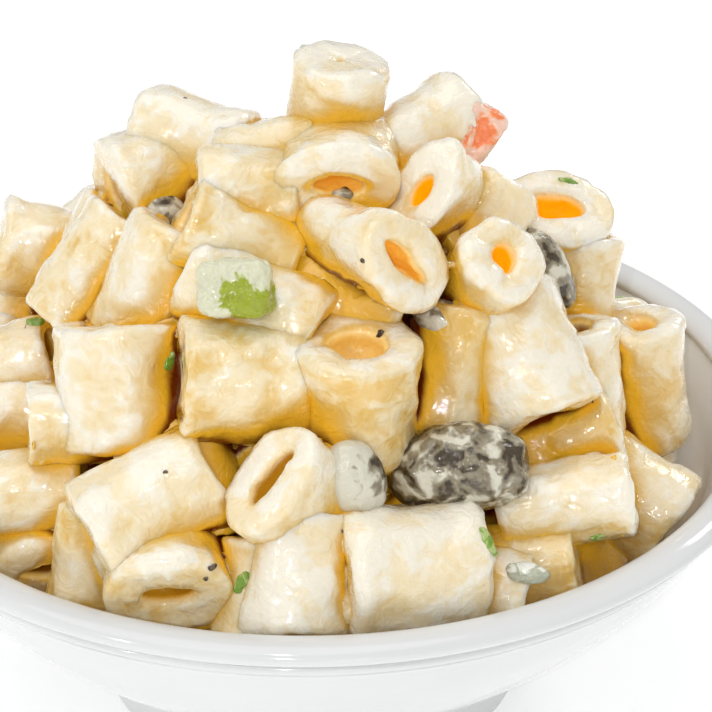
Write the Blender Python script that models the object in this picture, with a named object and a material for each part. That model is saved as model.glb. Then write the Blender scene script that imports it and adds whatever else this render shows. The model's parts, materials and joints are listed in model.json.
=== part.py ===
"""A small white bowl heaped with pasta salad: short pasta tubes in creamy dressing,
black olive, celery and red pepper. Units are metres, +Z is up, and the origin is the
middle of the bowl's foot, where it stands."""

import math
import random
from collections import namedtuple

import bmesh
import bpy
import numpy as np
from mathutils import Matrix, Vector

# Driving dimensions of the bowl
BOWL_HEIGHT = 0.0380
RIM_ROLL_RADIUS = 0.0526
RIM_ROLL_HALF_WIDTH = 0.0022
RIM_ROLL_HALF_HEIGHT = 0.00125
SHOULDER_RADIUS = 0.0530
SHOULDER_DROP = 0.0030
WALL_TOP_RADIUS = 0.0518
WALL_THICKNESS = 0.0033
WALL_FOOT_RADIUS = 0.0200
WALL_START_DROP = 0.0040
WALL_DROP = 0.0340
WALL_BEND = 1.3
WALL_FULLNESS = 0.85
FLOOR_DROP = 0.0290
FOOT_OUTER_RADIUS = 0.0258
FOOT_INNER_RADIUS = 0.0228
FOOT_EDGE = 0.0004
FOOT_RECESS = 0.0030
RIM_LINE = BOWL_HEIGHT - 0.0007
BOWL_SEGMENTS = 48

# Driving dimensions of the heap
HEAP_HEIGHT = 0.0455
HEAP_RADIUS = 0.0490
HEAP_FULLNESS = 1.7
BACK_FALL = 0.30
TUBE_DIAMETER = 0.0135
TUBE_LENGTH = 0.0145
TUBE_HOLE = 0.0056
TUBE_HOLE_DEPTH = 0.0040
TUBE_SIDES = 10
BACK_TUBE_SIDES = 7
HOLE_SIDES = 6
CORE_COVER = 0.0035
CORE_SHOULDER_DROP = 0.0120
CORE_SEGMENTS = 20
GAP = 0.0003
TOPPING_GAP = 0.0004

# The eye that the heap's arrangement is laid out from: how far off it stands, how high it
# looks down from, the point that it looks at, and its picture of PICTURE x PICTURE pixels
EYE_DISTANCE = 0.3100
EYE_ELEVATION = math.radians(28.3)
EYE_AIM = Vector((0.00544, 0.0, RIM_LINE + 0.0055))
EYE_FOCAL_PIXELS = 2602.0
PICTURE = 712

EYE_RIGHT = Vector((1.0, 0.0, 0.0))
EYE_UP = Vector((0.0, math.sin(EYE_ELEVATION), math.cos(EYE_ELEVATION)))
EYE_AHEAD = Vector((0.0, math.cos(EYE_ELEVATION), -math.sin(EYE_ELEVATION)))
EYE = EYE_AIM - EYE_AHEAD * EYE_DISTANCE

# One pasta tube. px, py: the picture's pixel that its middle shows at. turn: the way its
# nearer end points in the picture, in degrees from the right, anticlockwise. lean: how far
# that end leans out of the picture towards the eye. length, wide: millimetres. flat: its
# section's height over its width. roll: its section's turn about its own axis. hole: the
# hole's width in millimetres, 0 where dressing closes it. slit: the hole's height over its
# width. sink: millimetres further from the eye than the heap's own surface.
Tube = namedtuple("Tube", "name px py turn lean length wide flat roll hole slit sink")


def tube(name, px, py, turn, lean, length=14.5, wide=13.5, flat=1.0, roll=0.0, hole=5.6, slit=0.9,
         sink=0.0):
    return Tube(name, px, py, turn, lean, length, wide, flat, roll, hole, slit, sink)


FRONT_TUBES = (
    # Crown
    tube("crown", 334, 117, 82, 31, length=14, wide=10.4, hole=0),
    tube("crown_right", 420, 139, 215, 25, length=13.0, wide=10.2),
    tube("crown_ring", 338, 165, 270, 62, length=12, wide=14, flat=0.68, hole=6.0, slit=0.5),
    tube("crown_behind", 272, 160, 10, 5, length=11, wide=9, sink=3),
    # Upper left
    tube("upper_left_top", 194, 147, -18, 15, length=12.5, wide=11.5),
    tube("upper_left", 168, 174, 200, 22, length=14, wide=11.8, hole=4.0, slit=0.6),
    tube("upper_left_inner", 247, 195, 180, 5, length=11, wide=10.5),
    tube("upper_left_low", 236, 243, 156, 12, length=12.8, wide=9.8),
    tube("far_left", 54, 254, 168, 8, length=13, wide=11),
    tube("far_left_behind", 97, 256, 60, 10, length=13, wide=9, sink=5),
    # Left
    tube("left_slanted", 98, 272, 58, 5, length=14.5, wide=11.0),
    tube("left_slanted_inner", 158, 285, 65, 10, length=14, wide=11.5, sink=0.5),
    tube("under_celery", 256, 302, -30, 5, length=15.5, wide=11.5, sink=1.0),
    tube("left_big", 121, 386, 92, 6, length=13.8, wide=14.0, sink=-1.0),
    tube("left_big_behind", 84, 424, 180, 6, length=12, wide=9, sink=0.5),
    tube("left_edge_top", 2, 366, 12, 10, length=13, wide=9),
    tube("left_edge", -2, 412, 2, 5, wide=10.5, sink=2),
    tube("left_edge_low", 18, 492, 5, 5, length=15, wide=9),
    tube("left_edge_slit", -2, 546, 280, 48, length=12, wide=12, flat=0.75, hole=6, slit=0.3),
    tube("left_upright", 70, 570, 80, 10, length=12, wide=8.5),
    # Middle
    tube("middle_block", 243, 381, 180, 8, length=13.5, wide=13.8),
    tube("middle_ring", 357, 394, 88, 33, length=13, wide=13.3, hole=6.2, slit=0.9),
    tube("middle_slit", 370, 252, -20, 50, length=13, wide=13, flat=0.66, roll=-110, hole=7.4, slit=0.26,
         sink=-1.0),
    tube("middle_shaded", 345, 300, -15, 5, length=13, wide=9.5, sink=4),
    tube("middle_deep", 450, 366, 80, 5, length=14, wide=10.5, sink=5),
    # Upper right
    tube("slanted_slit", 437, 204, 145, 66, length=11, wide=13.0, flat=0.56, hole=3.6, slit=0.4),
    tube("slanted_behind", 472, 235, 235, 10, length=13, wide=10, sink=2),
    tube("right_ring", 549, 235, 80, 58, length=12, wide=13.6, flat=0.74, hole=6.2, slit=0.55),
    tube("round_ring", 479, 280, 42, 58, length=13, wide=10.2, roll=-45, hole=3.2, slit=0.75, sink=-1.0),
    tube("right_shoulder", 575, 288, 80, 10, length=13, wide=9.5, sink=3),
    # Right
    tube("right_slanted", 520, 358, 293, 8, length=14.5, wide=13.8, sink=-1.0),
    tube("right_upright_inner", 573, 381, 95, 15, length=13, wide=11.5, sink=2),
    tube("right_upright", 643, 381, 97, 27, length=15.5, wide=10.6, hole=3.8, slit=0.9),
    tube("right_shaded", 561, 440, 20, 5, length=12.5, wide=9.6, sink=5),
    tube("right_low", 657, 493, -35, 6, length=14.5, wide=12.0, sink=-4),
    tube("right_level", 565, 503, 8, 6, length=14.5, wide=9.4, sink=-0.5),
    tube("right_under", 535, 573, 5, 5, length=12.5, wide=9.5, sink=1.5),
    # Front
    tube("front_block", 408, 567, 185, 16, length=15, wide=13.7),
    tube("front_upright", 297, 577, 266, 6, length=12.6, wide=12),
    tube("front_ring", 297, 496, 142, 50, length=11, wide=13, flat=0.68, hole=6.6, slit=0.25),
    tube("front_right", 484, 592, -14, 5, length=13, wide=9, sink=0.5),
    tube("front_left_slit", 166, 560, 275, 50, length=12, wide=13.6, flat=0.8, hole=5.2, slit=0.3),
    tube("front_left_turned", 150, 507, 207, 12, length=14.5, wide=12.8, sink=-1.5),
    tube("front_left_strip", 201, 486, -75, 5, length=12, wide=8.5, sink=4),
    tube("front_sliver", 251, 598, 86, 5, length=12, wide=8, sink=2),
)

# The heap's upper outline in the picture, which the tubes of the far side stay below
OUTLINE_PX = (-80, -20, 60, 100, 150, 240, 300, 345, 375, 430, 480, 500, 560, 612, 640, 690, 712, 790)
OUTLINE_PY = (400, 255, 205, 180, 95, 103, 125, 60, 115, 90, 118, 190, 180, 215, 300, 312, 440, 520)
LOWEST_SLIDE = 0.016

# Tubes that the picture doesn't show, on the far side of the heap
BACK_TUBES = 46
BACK_TUBE_SPACING = 0.0086
BACK_REACH = 0.0020
BACK_SEED = 11
GOLDEN_ANGLE = math.pi * (3.0 - math.sqrt(5.0))

# One larger topping: px, py, turn, lean and sink as for a tube; size: its three lengths in
# millimetres, along its axis, across it in the picture, and away from the eye
Topping = namedtuple("Topping", "name px py turn lean sink size shape")
TOPPINGS = (
    Topping("olive_long", 462, 467, 4, 5, 1.0, (16.5, 9.8, 9.0), "olive"),
    Topping("olive_cut", 353, 480, 108, 20, 0.5, (9.0, 7.0, 5.0), "olive"),
    Topping("olive_right", 546, 270, 118, 10, -0.8, (10.0, 5.2, 5.2), "olive"),
    Topping("olive_left", 162, 216, -50, 10, 3.8, (8.0, 5.6, 5.6), "olive"),
    Topping("olive_shaded", 446, 320, -22, 5, 3.2, (7.4, 4.2, 4.2), "olive"),
    Topping("celery_chunk", 235, 288, 0, 10, -4.2, (8.0, 6.2, 4.4), "block"),
    Topping("red_pepper_piece", 473, 139, 62, 10, -2.2, (8.2, 4.2, 3.2), "block"),
)

# Small bits that lie on the tubes: px, py, turn and their two lengths in millimetres
Bit = namedtuple("Bit", "px py turn long wide")
BITS = (
    Bit(570, 176, -12, 2.6, 1.2),
    Bit(170, 362, 75, 2.2, 1.4),
    Bit(243, 582, 60, 2.6, 1.6),
    Bit(468, 536, 110, 3.4, 1.6),
    Bit(598, 537, 10, 2.0, 1.4),
    Bit(35, 322, -30, 2.4, 1.8),
    Bit(528, 573, -12, 4.6, 2.2),
)


# Plain functions

def wall_radius(drop):
    """The outside radius of the bowl's wall at a drop below the rim line."""
    share = min(max((drop - WALL_START_DROP) / (WALL_DROP - WALL_START_DROP), 0.0), 1.0)
    spread = (1.0 - share ** WALL_BEND) ** WALL_FULLNESS
    return WALL_FOOT_RADIUS + (WALL_TOP_RADIUS - WALL_FOOT_RADIUS) * spread


def inner_radius(drop):
    """The inside radius of the bowl at a drop below the rim line."""
    lip = RIM_ROLL_RADIUS - RIM_ROLL_HALF_WIDTH
    if drop <= 0.0:
        return lip
    share = min(drop / WALL_START_DROP, 1.0)
    return lip + (wall_radius(max(drop, WALL_START_DROP)) - WALL_THICKNESS - lip) * share


def heap_height(x, y, inset=0.0):
    """The heap's height over the rim line at a place, inset from its outline, lower at the back."""
    share = math.hypot(x, y) / (HEAP_RADIUS - inset)
    height = (HEAP_HEIGHT - inset) * (1.0 - share ** HEAP_FULLNESS)
    return height * (1.0 - BACK_FALL * max(y, 0.0) / HEAP_RADIUS)


def sight_direction(px, py):
    across = (px - PICTURE / 2) / EYE_FOCAL_PIXELS
    upward = (PICTURE / 2 - py) / EYE_FOCAL_PIXELS
    return (EYE_AHEAD + EYE_RIGHT * across + EYE_UP * upward).normalized()


def on_heap(px, py, inset):
    """The point that a pixel's line of sight meets on the heap's surface, inset from its outline."""
    direction = sight_direction(px, py)
    step = 0.0005
    best_point = None
    best_height = 1.0
    for count in range(400, 900):
        point = EYE + direction * (step * count)
        height = point.z - RIM_LINE - heap_height(point.x, point.y, inset)
        if height < best_height:
            best_height = height
            best_point = point
        if height < 0.0:
            break
    return best_point


def picture_frame(turn, lean, roll=0.0):
    """A frame whose Z is an axis given by its turn in the picture and its lean towards the eye."""
    turn = math.radians(turn)
    lean = math.radians(lean)
    along = EYE_RIGHT * math.cos(turn) + EYE_UP * math.sin(turn)
    axis = along * math.cos(lean) - EYE_AHEAD * math.sin(lean)
    side = EYE_UP * math.cos(turn) - EYE_RIGHT * math.sin(turn)
    other = axis.cross(side)
    frame = Matrix((side, other, axis)).transposed()
    return frame @ Matrix.Rotation(math.radians(roll), 3, "Z")


def new_material(name, colour, roughness):
    material = bpy.data.materials.new(name)
    material.use_nodes = True
    shader = material.node_tree.nodes["Principled BSDF"]
    shader.inputs["Base Color"].default_value = (*colour, 1.0)
    shader.inputs["Roughness"].default_value = roughness
    shader.inputs["Metallic"].default_value = 0.0
    return material


def new_object(name, mesh_data, material=None):
    item = bpy.data.objects.new(name, mesh_data)
    bpy.context.scene.collection.objects.link(item)
    if material:
        mesh_data.materials.append(material)
    return item


def turned_mesh(name, profile, segments):
    """A closed turned solid. The profile runs from the axis below, round the outside, to the axis above."""
    work = bmesh.new()
    rings = []
    for radius, height in profile:
        if radius == 0.0:
            rings.append([work.verts.new((0.0, 0.0, height))] * segments)
        else:
            angles = [2.0 * math.pi * k / segments for k in range(segments)]
            corners = [(radius * math.cos(a), radius * math.sin(a), height) for a in angles]
            rings.append([work.verts.new(corner) for corner in corners])
    for low, high in zip(rings, rings[1:]):
        for k in range(segments):
            after = (k + 1) % segments
            corners = [low[k], low[after], high[after], high[k]]
            unique = list(dict.fromkeys(corners))
            work.faces.new(unique)
    bmesh.ops.recalc_face_normals(work, faces=work.faces[:])
    result = bpy.data.meshes.new(name)
    work.to_mesh(result)
    work.free()
    return result


# The bowl

def bowl_profile():
    points = [(0.0, FOOT_RECESS), (FOOT_INNER_RADIUS - FOOT_EDGE, FOOT_RECESS)]
    points += [(FOOT_INNER_RADIUS, FOOT_EDGE), (FOOT_INNER_RADIUS + FOOT_EDGE, 0.0)]
    points += [(FOOT_OUTER_RADIUS - FOOT_EDGE, 0.0), (FOOT_OUTER_RADIUS, FOOT_EDGE)]
    points.append((FOOT_OUTER_RADIUS, RIM_LINE - 0.0312))
    for drop in (0.0290, 0.0245, 0.0195, 0.0145, 0.0095, 0.0055):
        points.append((wall_radius(drop), RIM_LINE - drop))
    points.append((SHOULDER_RADIUS, RIM_LINE - SHOULDER_DROP))
    points.append((SHOULDER_RADIUS - 0.0001, RIM_LINE - SHOULDER_DROP + 0.0008))
    roll_height = BOWL_HEIGHT - RIM_ROLL_HALF_HEIGHT
    for degrees in range(-60, 216, 39):
        angle = math.radians(degrees)
        radius = RIM_ROLL_RADIUS + RIM_ROLL_HALF_WIDTH * math.cos(angle)
        points.append((radius, roll_height + RIM_ROLL_HALF_HEIGHT * math.sin(angle)))
    for drop in (0.0040, 0.0090, 0.0145, 0.0200, 0.0250, 0.0280):
        points.append((inner_radius(drop), RIM_LINE - drop))
    points.append((inner_radius(FLOOR_DROP) - 0.0022, RIM_LINE - FLOOR_DROP))
    points.append((0.0, RIM_LINE - FLOOR_DROP))
    return points


def make_bowl():
    mesh_data = turned_mesh("bowl", bowl_profile(), BOWL_SEGMENTS)
    bowl = new_object("bowl", mesh_data, new_material("glazed_porcelain", (0.88, 0.89, 0.90), 0.12))
    mesh_data.shade_smooth()
    mesh_data.set_sharp_from_angle(angle=math.radians(50))
    return bowl


# Pasta tubes

def tube_mesh(name, length, wide, flat, hole, slit, sides=TUBE_SIDES):
    """A short tube along Z with a blind hole at its outer end, lengths in metres."""
    work = bmesh.new()

    def ring(width, height, level, sides):
        corners = []
        for k in range(sides):
            angle = 2.0 * math.pi * (k + 0.5) / sides
            corner = (width / 2 * math.cos(angle), height / 2 * math.sin(angle), level)
            corners.append(work.verts.new(corner))
        return corners

    def bridge(first, second):
        """Triangles between two rings that start alike, taking the next corner of the ring that lags."""
        here, there = 0, 0
        while here < len(first) or there < len(second):
            corners = [first[here % len(first)], second[there % len(second)]]
            if (here + 1) / len(first) <= (there + 1) / len(second):
                here += 1
                corners.append(first[here % len(first)])
            else:
                there += 1
                corners.append(second[there % len(second)])
            work.faces.new(corners)

    half = length / 2
    ends = [ring(wide, wide * flat, level, sides) for level in (-half, half)]
    bridge(*ends)
    work.faces.new(ends[0])
    if hole == 0.0:
        work.faces.new(ends[1])
    else:
        mouth = ring(hole, hole * slit, half, HOLE_SIDES)
        bottom = ring(hole, hole * slit, half - TUBE_HOLE_DEPTH, HOLE_SIDES)
        bridge(ends[1], mouth)
        bridge(mouth, bottom)
        work.faces.new(bottom)
    bmesh.ops.triangulate(work, faces=work.faces[:])
    bmesh.ops.recalc_face_normals(work, faces=work.faces[:])
    result = bpy.data.meshes.new(name)
    work.to_mesh(result)
    work.free()
    return result


def bowl_overlap(points):
    """How far the farthest of some points reaches past the bowl's inside, outwards and downwards."""
    outward = 0.0
    downward = 0.0
    for point in points:
        drop = RIM_LINE - point.z
        radius = math.hypot(point.x, point.y)
        if drop > -(BOWL_HEIGHT - RIM_LINE) - GAP and radius < RIM_ROLL_RADIUS + RIM_ROLL_HALF_WIDTH + GAP:
            outward = max(outward, radius - inner_radius(max(drop, 0.0)) + 2 * GAP)
        downward = max(downward, drop - FLOOR_DROP + 2 * GAP)
    return outward, downward


def tube_outline(place, frame, length, wide, flat):
    points = []
    for level in (-length / 2, 0.0, length / 2):
        for k in range(TUBE_SIDES):
            angle = 2.0 * math.pi * (k + 0.5) / TUBE_SIDES
            corner = Vector((wide / 2 * math.cos(angle), wide * flat / 2 * math.sin(angle), level))
            points.append(place + frame @ corner)
    return points


def clear_of_bowl(place, frame, length, wide, flat):
    """Slides a tube inwards and up until it is clear of the bowl's inside."""
    place = place.copy()
    for attempt in range(12):
        outward, downward = bowl_overlap(tube_outline(place, frame, length, wide, flat))
        if outward <= 0.0 and downward <= 0.0:
            break
        radius = max(math.hypot(place.x, place.y), 0.001)
        place.x -= place.x / radius * outward
        place.y -= place.y / radius * outward
        place.z += max(downward, 0.0) - 0.15 * outward
    return place


def front_tube_places():
    """The place and the frame of every tube that the picture shows."""
    placed = []
    for item in FRONT_TUBES:
        frame = picture_frame(item.turn, item.lean, item.roll)
        inset = item.wide * item.flat / 2000
        place = on_heap(item.px, item.py, inset) + sight_direction(item.px, item.py) * (item.sink / 1000)
        sizes = (item.length / 1000, item.wide / 1000, item.flat, item.hole / 1000, item.slit)
        place = clear_of_bowl(place, frame, *sizes[:3])
        placed.append((item.name, place, frame, sizes))
    return placed


def picture_point(point):
    """The pixel that a point shows at."""
    reach = point - EYE
    depth = reach.dot(EYE_AHEAD)
    px = PICTURE / 2 + EYE_FOCAL_PIXELS * reach.dot(EYE_RIGHT) / depth
    py = PICTURE / 2 - EYE_FOCAL_PIXELS * reach.dot(EYE_UP) / depth
    return px, py


def below_outline(place, frame, length, wide, flat):
    """Lowers a tube of the far side until the heap in front hides it, or gives None if that is too far."""
    lowered = place.copy()
    pixel = EYE_DISTANCE / EYE_FOCAL_PIXELS
    for attempt in range(8):
        above = 0.0
        for point in tube_outline(lowered, frame, length, wide, flat):
            px, py = picture_point(point)
            above = max(above, float(np.interp(px, OUTLINE_PX, OUTLINE_PY)) - py)
        if above <= 0.0:
            return lowered
        lowered.z -= above * pixel / math.cos(EYE_ELEVATION)
        if place.z - lowered.z > LOWEST_SLIDE:
            return None
    return lowered


def back_tube_places(taken):
    """Tubes of the far side: a spiral over the heap, leaving out what lies near a placed tube."""
    draw = random.Random(BACK_SEED)
    inset = TUBE_DIAMETER / 2
    reach = HEAP_RADIUS - inset + BACK_REACH
    places = [place for name, place, frame, sizes in taken]
    placed = []
    for k in range(BACK_TUBES * 3):
        share = (k + 0.5) / (BACK_TUBES * 3)
        radius = reach * math.sqrt(share)
        angle = GOLDEN_ANGLE * k
        x = radius * math.cos(angle)
        y = radius * math.sin(angle)
        place = Vector((x, y, RIM_LINE + heap_height(x, y, inset) - 0.0010))
        if min((place - other).length for other in places) < BACK_TUBE_SPACING:
            continue
        if place.y < -0.012 or len(placed) >= BACK_TUBES:
            continue
        slope = math.atan2(HEAP_HEIGHT, HEAP_RADIUS) * (0.3 + radius / reach)
        outward = Vector((x, y, radius / math.tan(slope))).normalized()
        across = outward.cross(Vector((0.0, 0.0, 1.0))).normalized()
        along = across * math.cos(draw.uniform(0, math.pi))
        along += across.cross(outward) * math.sin(draw.uniform(0, math.pi))
        axis = (along.normalized() + outward * draw.uniform(-0.1, 0.9)).normalized()
        side = axis.orthogonal().normalized()
        frame = Matrix((side, axis.cross(side), axis)).transposed()
        length = TUBE_LENGTH * draw.uniform(0.88, 1.05)
        wide = TUBE_DIAMETER * draw.uniform(0.8, 1.0)
        flat = draw.choice((0.72, 0.85, 1.0, 1.0))
        sizes = (length, wide, flat, TUBE_HOLE * wide / TUBE_DIAMETER, draw.choice((0.35, 0.7, 0.9)))
        place = below_outline(place, frame, *sizes[:3])
        if place is None:
            continue
        place = clear_of_bowl(place, frame, *sizes[:3])
        places.append(place)
        placed.append((f"back_{len(placed):02d}", place, frame, sizes))
    return placed


# Toppings

def topping_mesh(item, extra):
    """An olive is a plump bent oval, and a block is a chopped piece with softened edges."""
    along, across, deep = (size / 1000 + 2 * extra for size in item.size)
    work = bmesh.new()
    if item.shape == "olive":
        bmesh.ops.create_icosphere(work, subdivisions=3 if item.size[0] > 12 else 2, radius=0.5)
        for corner in work.verts:
            bend = 0.16 * (corner.co.z ** 2)
            corner.co = Vector(((corner.co.x - bend) * across, corner.co.y * deep, corner.co.z * along))
    else:
        bmesh.ops.create_cube(work, size=1.0)
        bmesh.ops.subdivide_edges(work, edges=work.edges[:], cuts=1, use_grid_fill=True)
        for corner in work.verts:
            bow = 0.18 * (corner.co.z ** 2)
            softened = corner.co * (1.0 - 0.22 * max(0.0, corner.co.length - 0.5))
            corner.co = Vector(((softened.x - bow) * across, softened.y * deep, softened.z * along))
        bmesh.ops.bevel(work, geom=work.edges[:], offset=0.0006, segments=1, affect="EDGES")
    bmesh.ops.triangulate(work, faces=work.faces[:])
    bmesh.ops.recalc_face_normals(work, faces=work.faces[:])
    result = bpy.data.meshes.new(item.name)
    work.to_mesh(result)
    work.free()
    return result


def topping_frame(item):
    depth = min(item.size[1:]) / 2000
    place = on_heap(item.px, item.py, depth) + sight_direction(item.px, item.py) * (item.sink / 1000)
    frame = picture_frame(item.turn, item.lean).to_4x4()
    return Matrix.Translation(place) @ frame


TOPPING_MATERIALS = {
    "olive": ("black_olive", (0.020, 0.012, 0.008), 0.28),
    "celery": ("celery", (0.42, 0.52, 0.08), 0.35),
    "red": ("red_pepper", (0.85, 0.22, 0.10), 0.35),
}


def make_toppings():
    """The toppings, and a slightly larger copy of each, to cut its bed in the heap."""
    beds = []
    materials = {kind: new_material(*look) for kind, look in TOPPING_MATERIALS.items()}
    for item in TOPPINGS:
        material = materials[item.name.split("_")[0]]
        mesh_data = topping_mesh(item, 0.0)
        mesh_data.transform(topping_frame(item))
        topping = new_object(item.name, mesh_data, material)
        mesh_data.shade_smooth()
        mesh_data.set_sharp_from_angle(angle=math.radians(40))
        bed = topping_mesh(item, TOPPING_GAP)
        bed.transform(topping_frame(item))
        beds.append(new_object(f"{item.name}_bed", bed))
    return beds


# The heap

def core_profile():
    """The heap's core: the bowl's inside up to its shoulder, then a dome under the tubes."""
    floor = RIM_LINE - FLOOR_DROP + GAP
    points = [(0.0, floor), (inner_radius(FLOOR_DROP) - 0.0026 - GAP, floor)]
    for drop in (0.0270, 0.0200, CORE_SHOULDER_DROP):
        points.append((inner_radius(drop) - 2 * GAP, RIM_LINE - drop))
    inset = TUBE_DIAMETER / 2 + CORE_COVER
    reach = HEAP_RADIUS - inset
    for share in (1.0, 0.75, 0.5, 0.25):
        points.append((reach * share, RIM_LINE + heap_height(reach * share, 0.0, inset)))
    points.append((0.0, RIM_LINE + heap_height(0.0, 0.0, inset)))
    return points


def core_mesh():
    """The turned core, its dome then lowered at the back."""
    result = turned_mesh("core", core_profile(), CORE_SEGMENTS)
    for corner in result.vertices:
        fall = BACK_FALL * max(corner.co.y, 0.0) / HEAP_RADIUS
        corner.co.z -= max(corner.co.z - RIM_LINE, 0.0) * fall
    return result


def bit_mesh(item):
    work = bmesh.new()
    bmesh.ops.create_icosphere(work, subdivisions=1, radius=0.5)
    sizes = Vector((item.wide / 1000, 0.0014, item.long / 1000))
    for corner in work.verts:
        corner.co = Vector((corner.co.x * sizes.x, corner.co.y * sizes.y, corner.co.z * sizes.z))
    bmesh.ops.recalc_face_normals(work, faces=work.faces[:])
    result = bpy.data.meshes.new("bit")
    work.to_mesh(result)
    work.free()
    return result


def first_hit(solids, px, py):
    """The point where a pixel's line of sight first meets one of some solids."""
    direction = sight_direction(px, py)
    nearest = None
    for solid in solids:
        found, point, normal, index = solid.ray_cast(EYE, direction)
        if found and (nearest is None or (point - EYE).length < (nearest - EYE).length):
            nearest = point
    return nearest


def apply_boolean(target, operation, collection, solver):
    modifier = target.modifiers.new(operation.lower(), "BOOLEAN")
    modifier.operation = operation
    modifier.operand_type = "COLLECTION"
    modifier.collection = collection
    modifier.solver = solver
    reading = bpy.context.evaluated_depsgraph_get()
    result = bpy.data.meshes.new_from_object(target.evaluated_get(reading))
    target.modifiers.clear()
    target.data = result
    for item in list(collection.objects):
        bpy.data.objects.remove(item, do_unlink=True)
    bpy.data.collections.remove(collection)


def gather(name, items):
    collection = bpy.data.collections.new(name)
    bpy.context.scene.collection.children.link(collection)
    for item in items:
        collection.objects.link(item)
        bpy.context.scene.collection.objects.unlink(item)
    return collection


def keep_largest_shell(mesh_data):
    """Fills sealed hollows and drops loose scraps: only the shell of the largest volume stays."""
    work = bmesh.new()
    work.from_mesh(mesh_data)
    between = [corner for corner in work.verts if len(corner.link_edges) == 2]
    bmesh.ops.dissolve_verts(work, verts=between)
    bmesh.ops.triangulate(work, faces=work.faces[:], ngon_method="EAR_CLIP")
    waiting = set(work.faces)
    shells = []
    while waiting:
        start = waiting.pop()
        shell = [start]
        ahead = [start]
        while ahead:
            face = ahead.pop()
            for edge in face.edges:
                for other in edge.link_faces:
                    if other in waiting:
                        waiting.remove(other)
                        shell.append(other)
                        ahead.append(other)
        volume = sum(f.verts[0].co.dot(f.verts[1].co.cross(f.verts[2].co)) / 6 for f in shell)
        shells.append((volume, shell))
    shells.sort(key=lambda entry: entry[0])
    for volume, shell in shells[:-1]:
        bmesh.ops.delete(work, geom=shell, context="FACES")
    loose = [corner for corner in work.verts if not corner.link_faces]
    bmesh.ops.delete(work, geom=loose, context="VERTS")
    work.to_mesh(mesh_data)
    work.free()


def make_heap(beds):
    material = new_material("dressed_pasta", (0.90, 0.78, 0.55), 0.35)
    heap = new_object("pasta_heap", core_mesh())
    front = front_tube_places()
    pieces = []
    for name, place, frame, sizes in front + back_tube_places(front):
        sides = BACK_TUBE_SIDES if name.startswith("back") else TUBE_SIDES
        piece = new_object(name, tube_mesh(name, *sizes, sides))
        piece.data.transform(Matrix.Translation(place) @ frame.to_4x4())
        pieces.append(piece)
    for item in BITS:
        place = first_hit(pieces, item.px, item.py)
        if place is None:
            continue
        piece = new_object("bit", bit_mesh(item))
        piece.data.transform(Matrix.Translation(place) @ picture_frame(item.turn, 0.0).to_4x4())
        pieces.append(piece)
    apply_boolean(heap, "UNION", gather("tubes", pieces), "EXACT")
    apply_boolean(heap, "DIFFERENCE", gather("beds", beds), "EXACT")
    keep_largest_shell(heap.data)
    heap.data.materials.clear()
    heap.data.materials.append(material)
    return heap


def clear_scene():
    for item in list(bpy.data.objects):
        bpy.data.objects.remove(item, do_unlink=True)


def main():
    clear_scene()
    make_bowl()
    beds = make_toppings()
    heap = make_heap(beds)
    print("heap triangles", len(heap.data.polygons))


main()
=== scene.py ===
# %% [markdown]
# A small white bowl heaped with pasta salad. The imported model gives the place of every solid,
# and this lesson dresses it: real pasta tubes with holes, the creamy dressing between them,
# black olive, celery, red pepper, flecks of herb and specks of pepper, and a glazed bowl.
# Everything is in metres, +Z is up, and the bowl stands on the origin.

import json
import math
import random
from collections import namedtuple

import bmesh
import bpy
import numpy as np
from mathutils import Matrix, Vector
from mathutils.bvhtree import BVHTree

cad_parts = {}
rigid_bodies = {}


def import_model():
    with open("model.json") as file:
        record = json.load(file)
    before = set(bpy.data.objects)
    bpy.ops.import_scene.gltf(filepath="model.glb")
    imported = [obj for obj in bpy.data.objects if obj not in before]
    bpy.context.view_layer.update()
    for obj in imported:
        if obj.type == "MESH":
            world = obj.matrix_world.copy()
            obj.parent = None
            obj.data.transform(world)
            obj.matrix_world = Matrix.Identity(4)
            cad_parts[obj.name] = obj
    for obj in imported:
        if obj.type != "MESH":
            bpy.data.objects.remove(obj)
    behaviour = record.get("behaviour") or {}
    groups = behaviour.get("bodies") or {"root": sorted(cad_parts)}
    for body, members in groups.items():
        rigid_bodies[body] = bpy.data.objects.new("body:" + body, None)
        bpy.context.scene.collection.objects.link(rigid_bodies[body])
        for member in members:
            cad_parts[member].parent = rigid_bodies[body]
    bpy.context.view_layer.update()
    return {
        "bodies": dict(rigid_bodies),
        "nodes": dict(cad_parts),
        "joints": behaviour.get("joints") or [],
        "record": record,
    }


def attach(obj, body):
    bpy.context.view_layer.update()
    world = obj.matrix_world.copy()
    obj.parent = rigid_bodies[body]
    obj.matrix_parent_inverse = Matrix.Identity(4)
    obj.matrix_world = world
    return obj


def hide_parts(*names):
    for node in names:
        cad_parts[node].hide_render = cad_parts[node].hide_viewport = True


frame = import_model()
BODY = "root"
print("solids of the packed model:", ", ".join(sorted(frame["nodes"])))


# %% [markdown]
# A few small helpers serve every material and every Geometry Nodes tree. One turns a colour that
# a person reads, in sRGB hex, into the linear values that Blender works with. Another adds a
# node, gives it its settings, and fills or links its inputs. A socket is found by its
# identifier first, because some nodes have several sockets with one name.

# %% Helpers for colours and nodes
def linear_colour(code):
    """An sRGB hex colour as linear RGBA."""
    values = []
    for start in (0, 2, 4):
        share = int(code[start:start + 2], 16) / 255
        values.append(share / 12.92 if share <= 0.04045 else ((share + 0.055) / 1.055) ** 2.4)
    return (*values, 1.0)


def socket_of(sockets, key):
    for socket in sockets:
        if socket.identifier == key:
            return socket
    return sockets[key]


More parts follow.
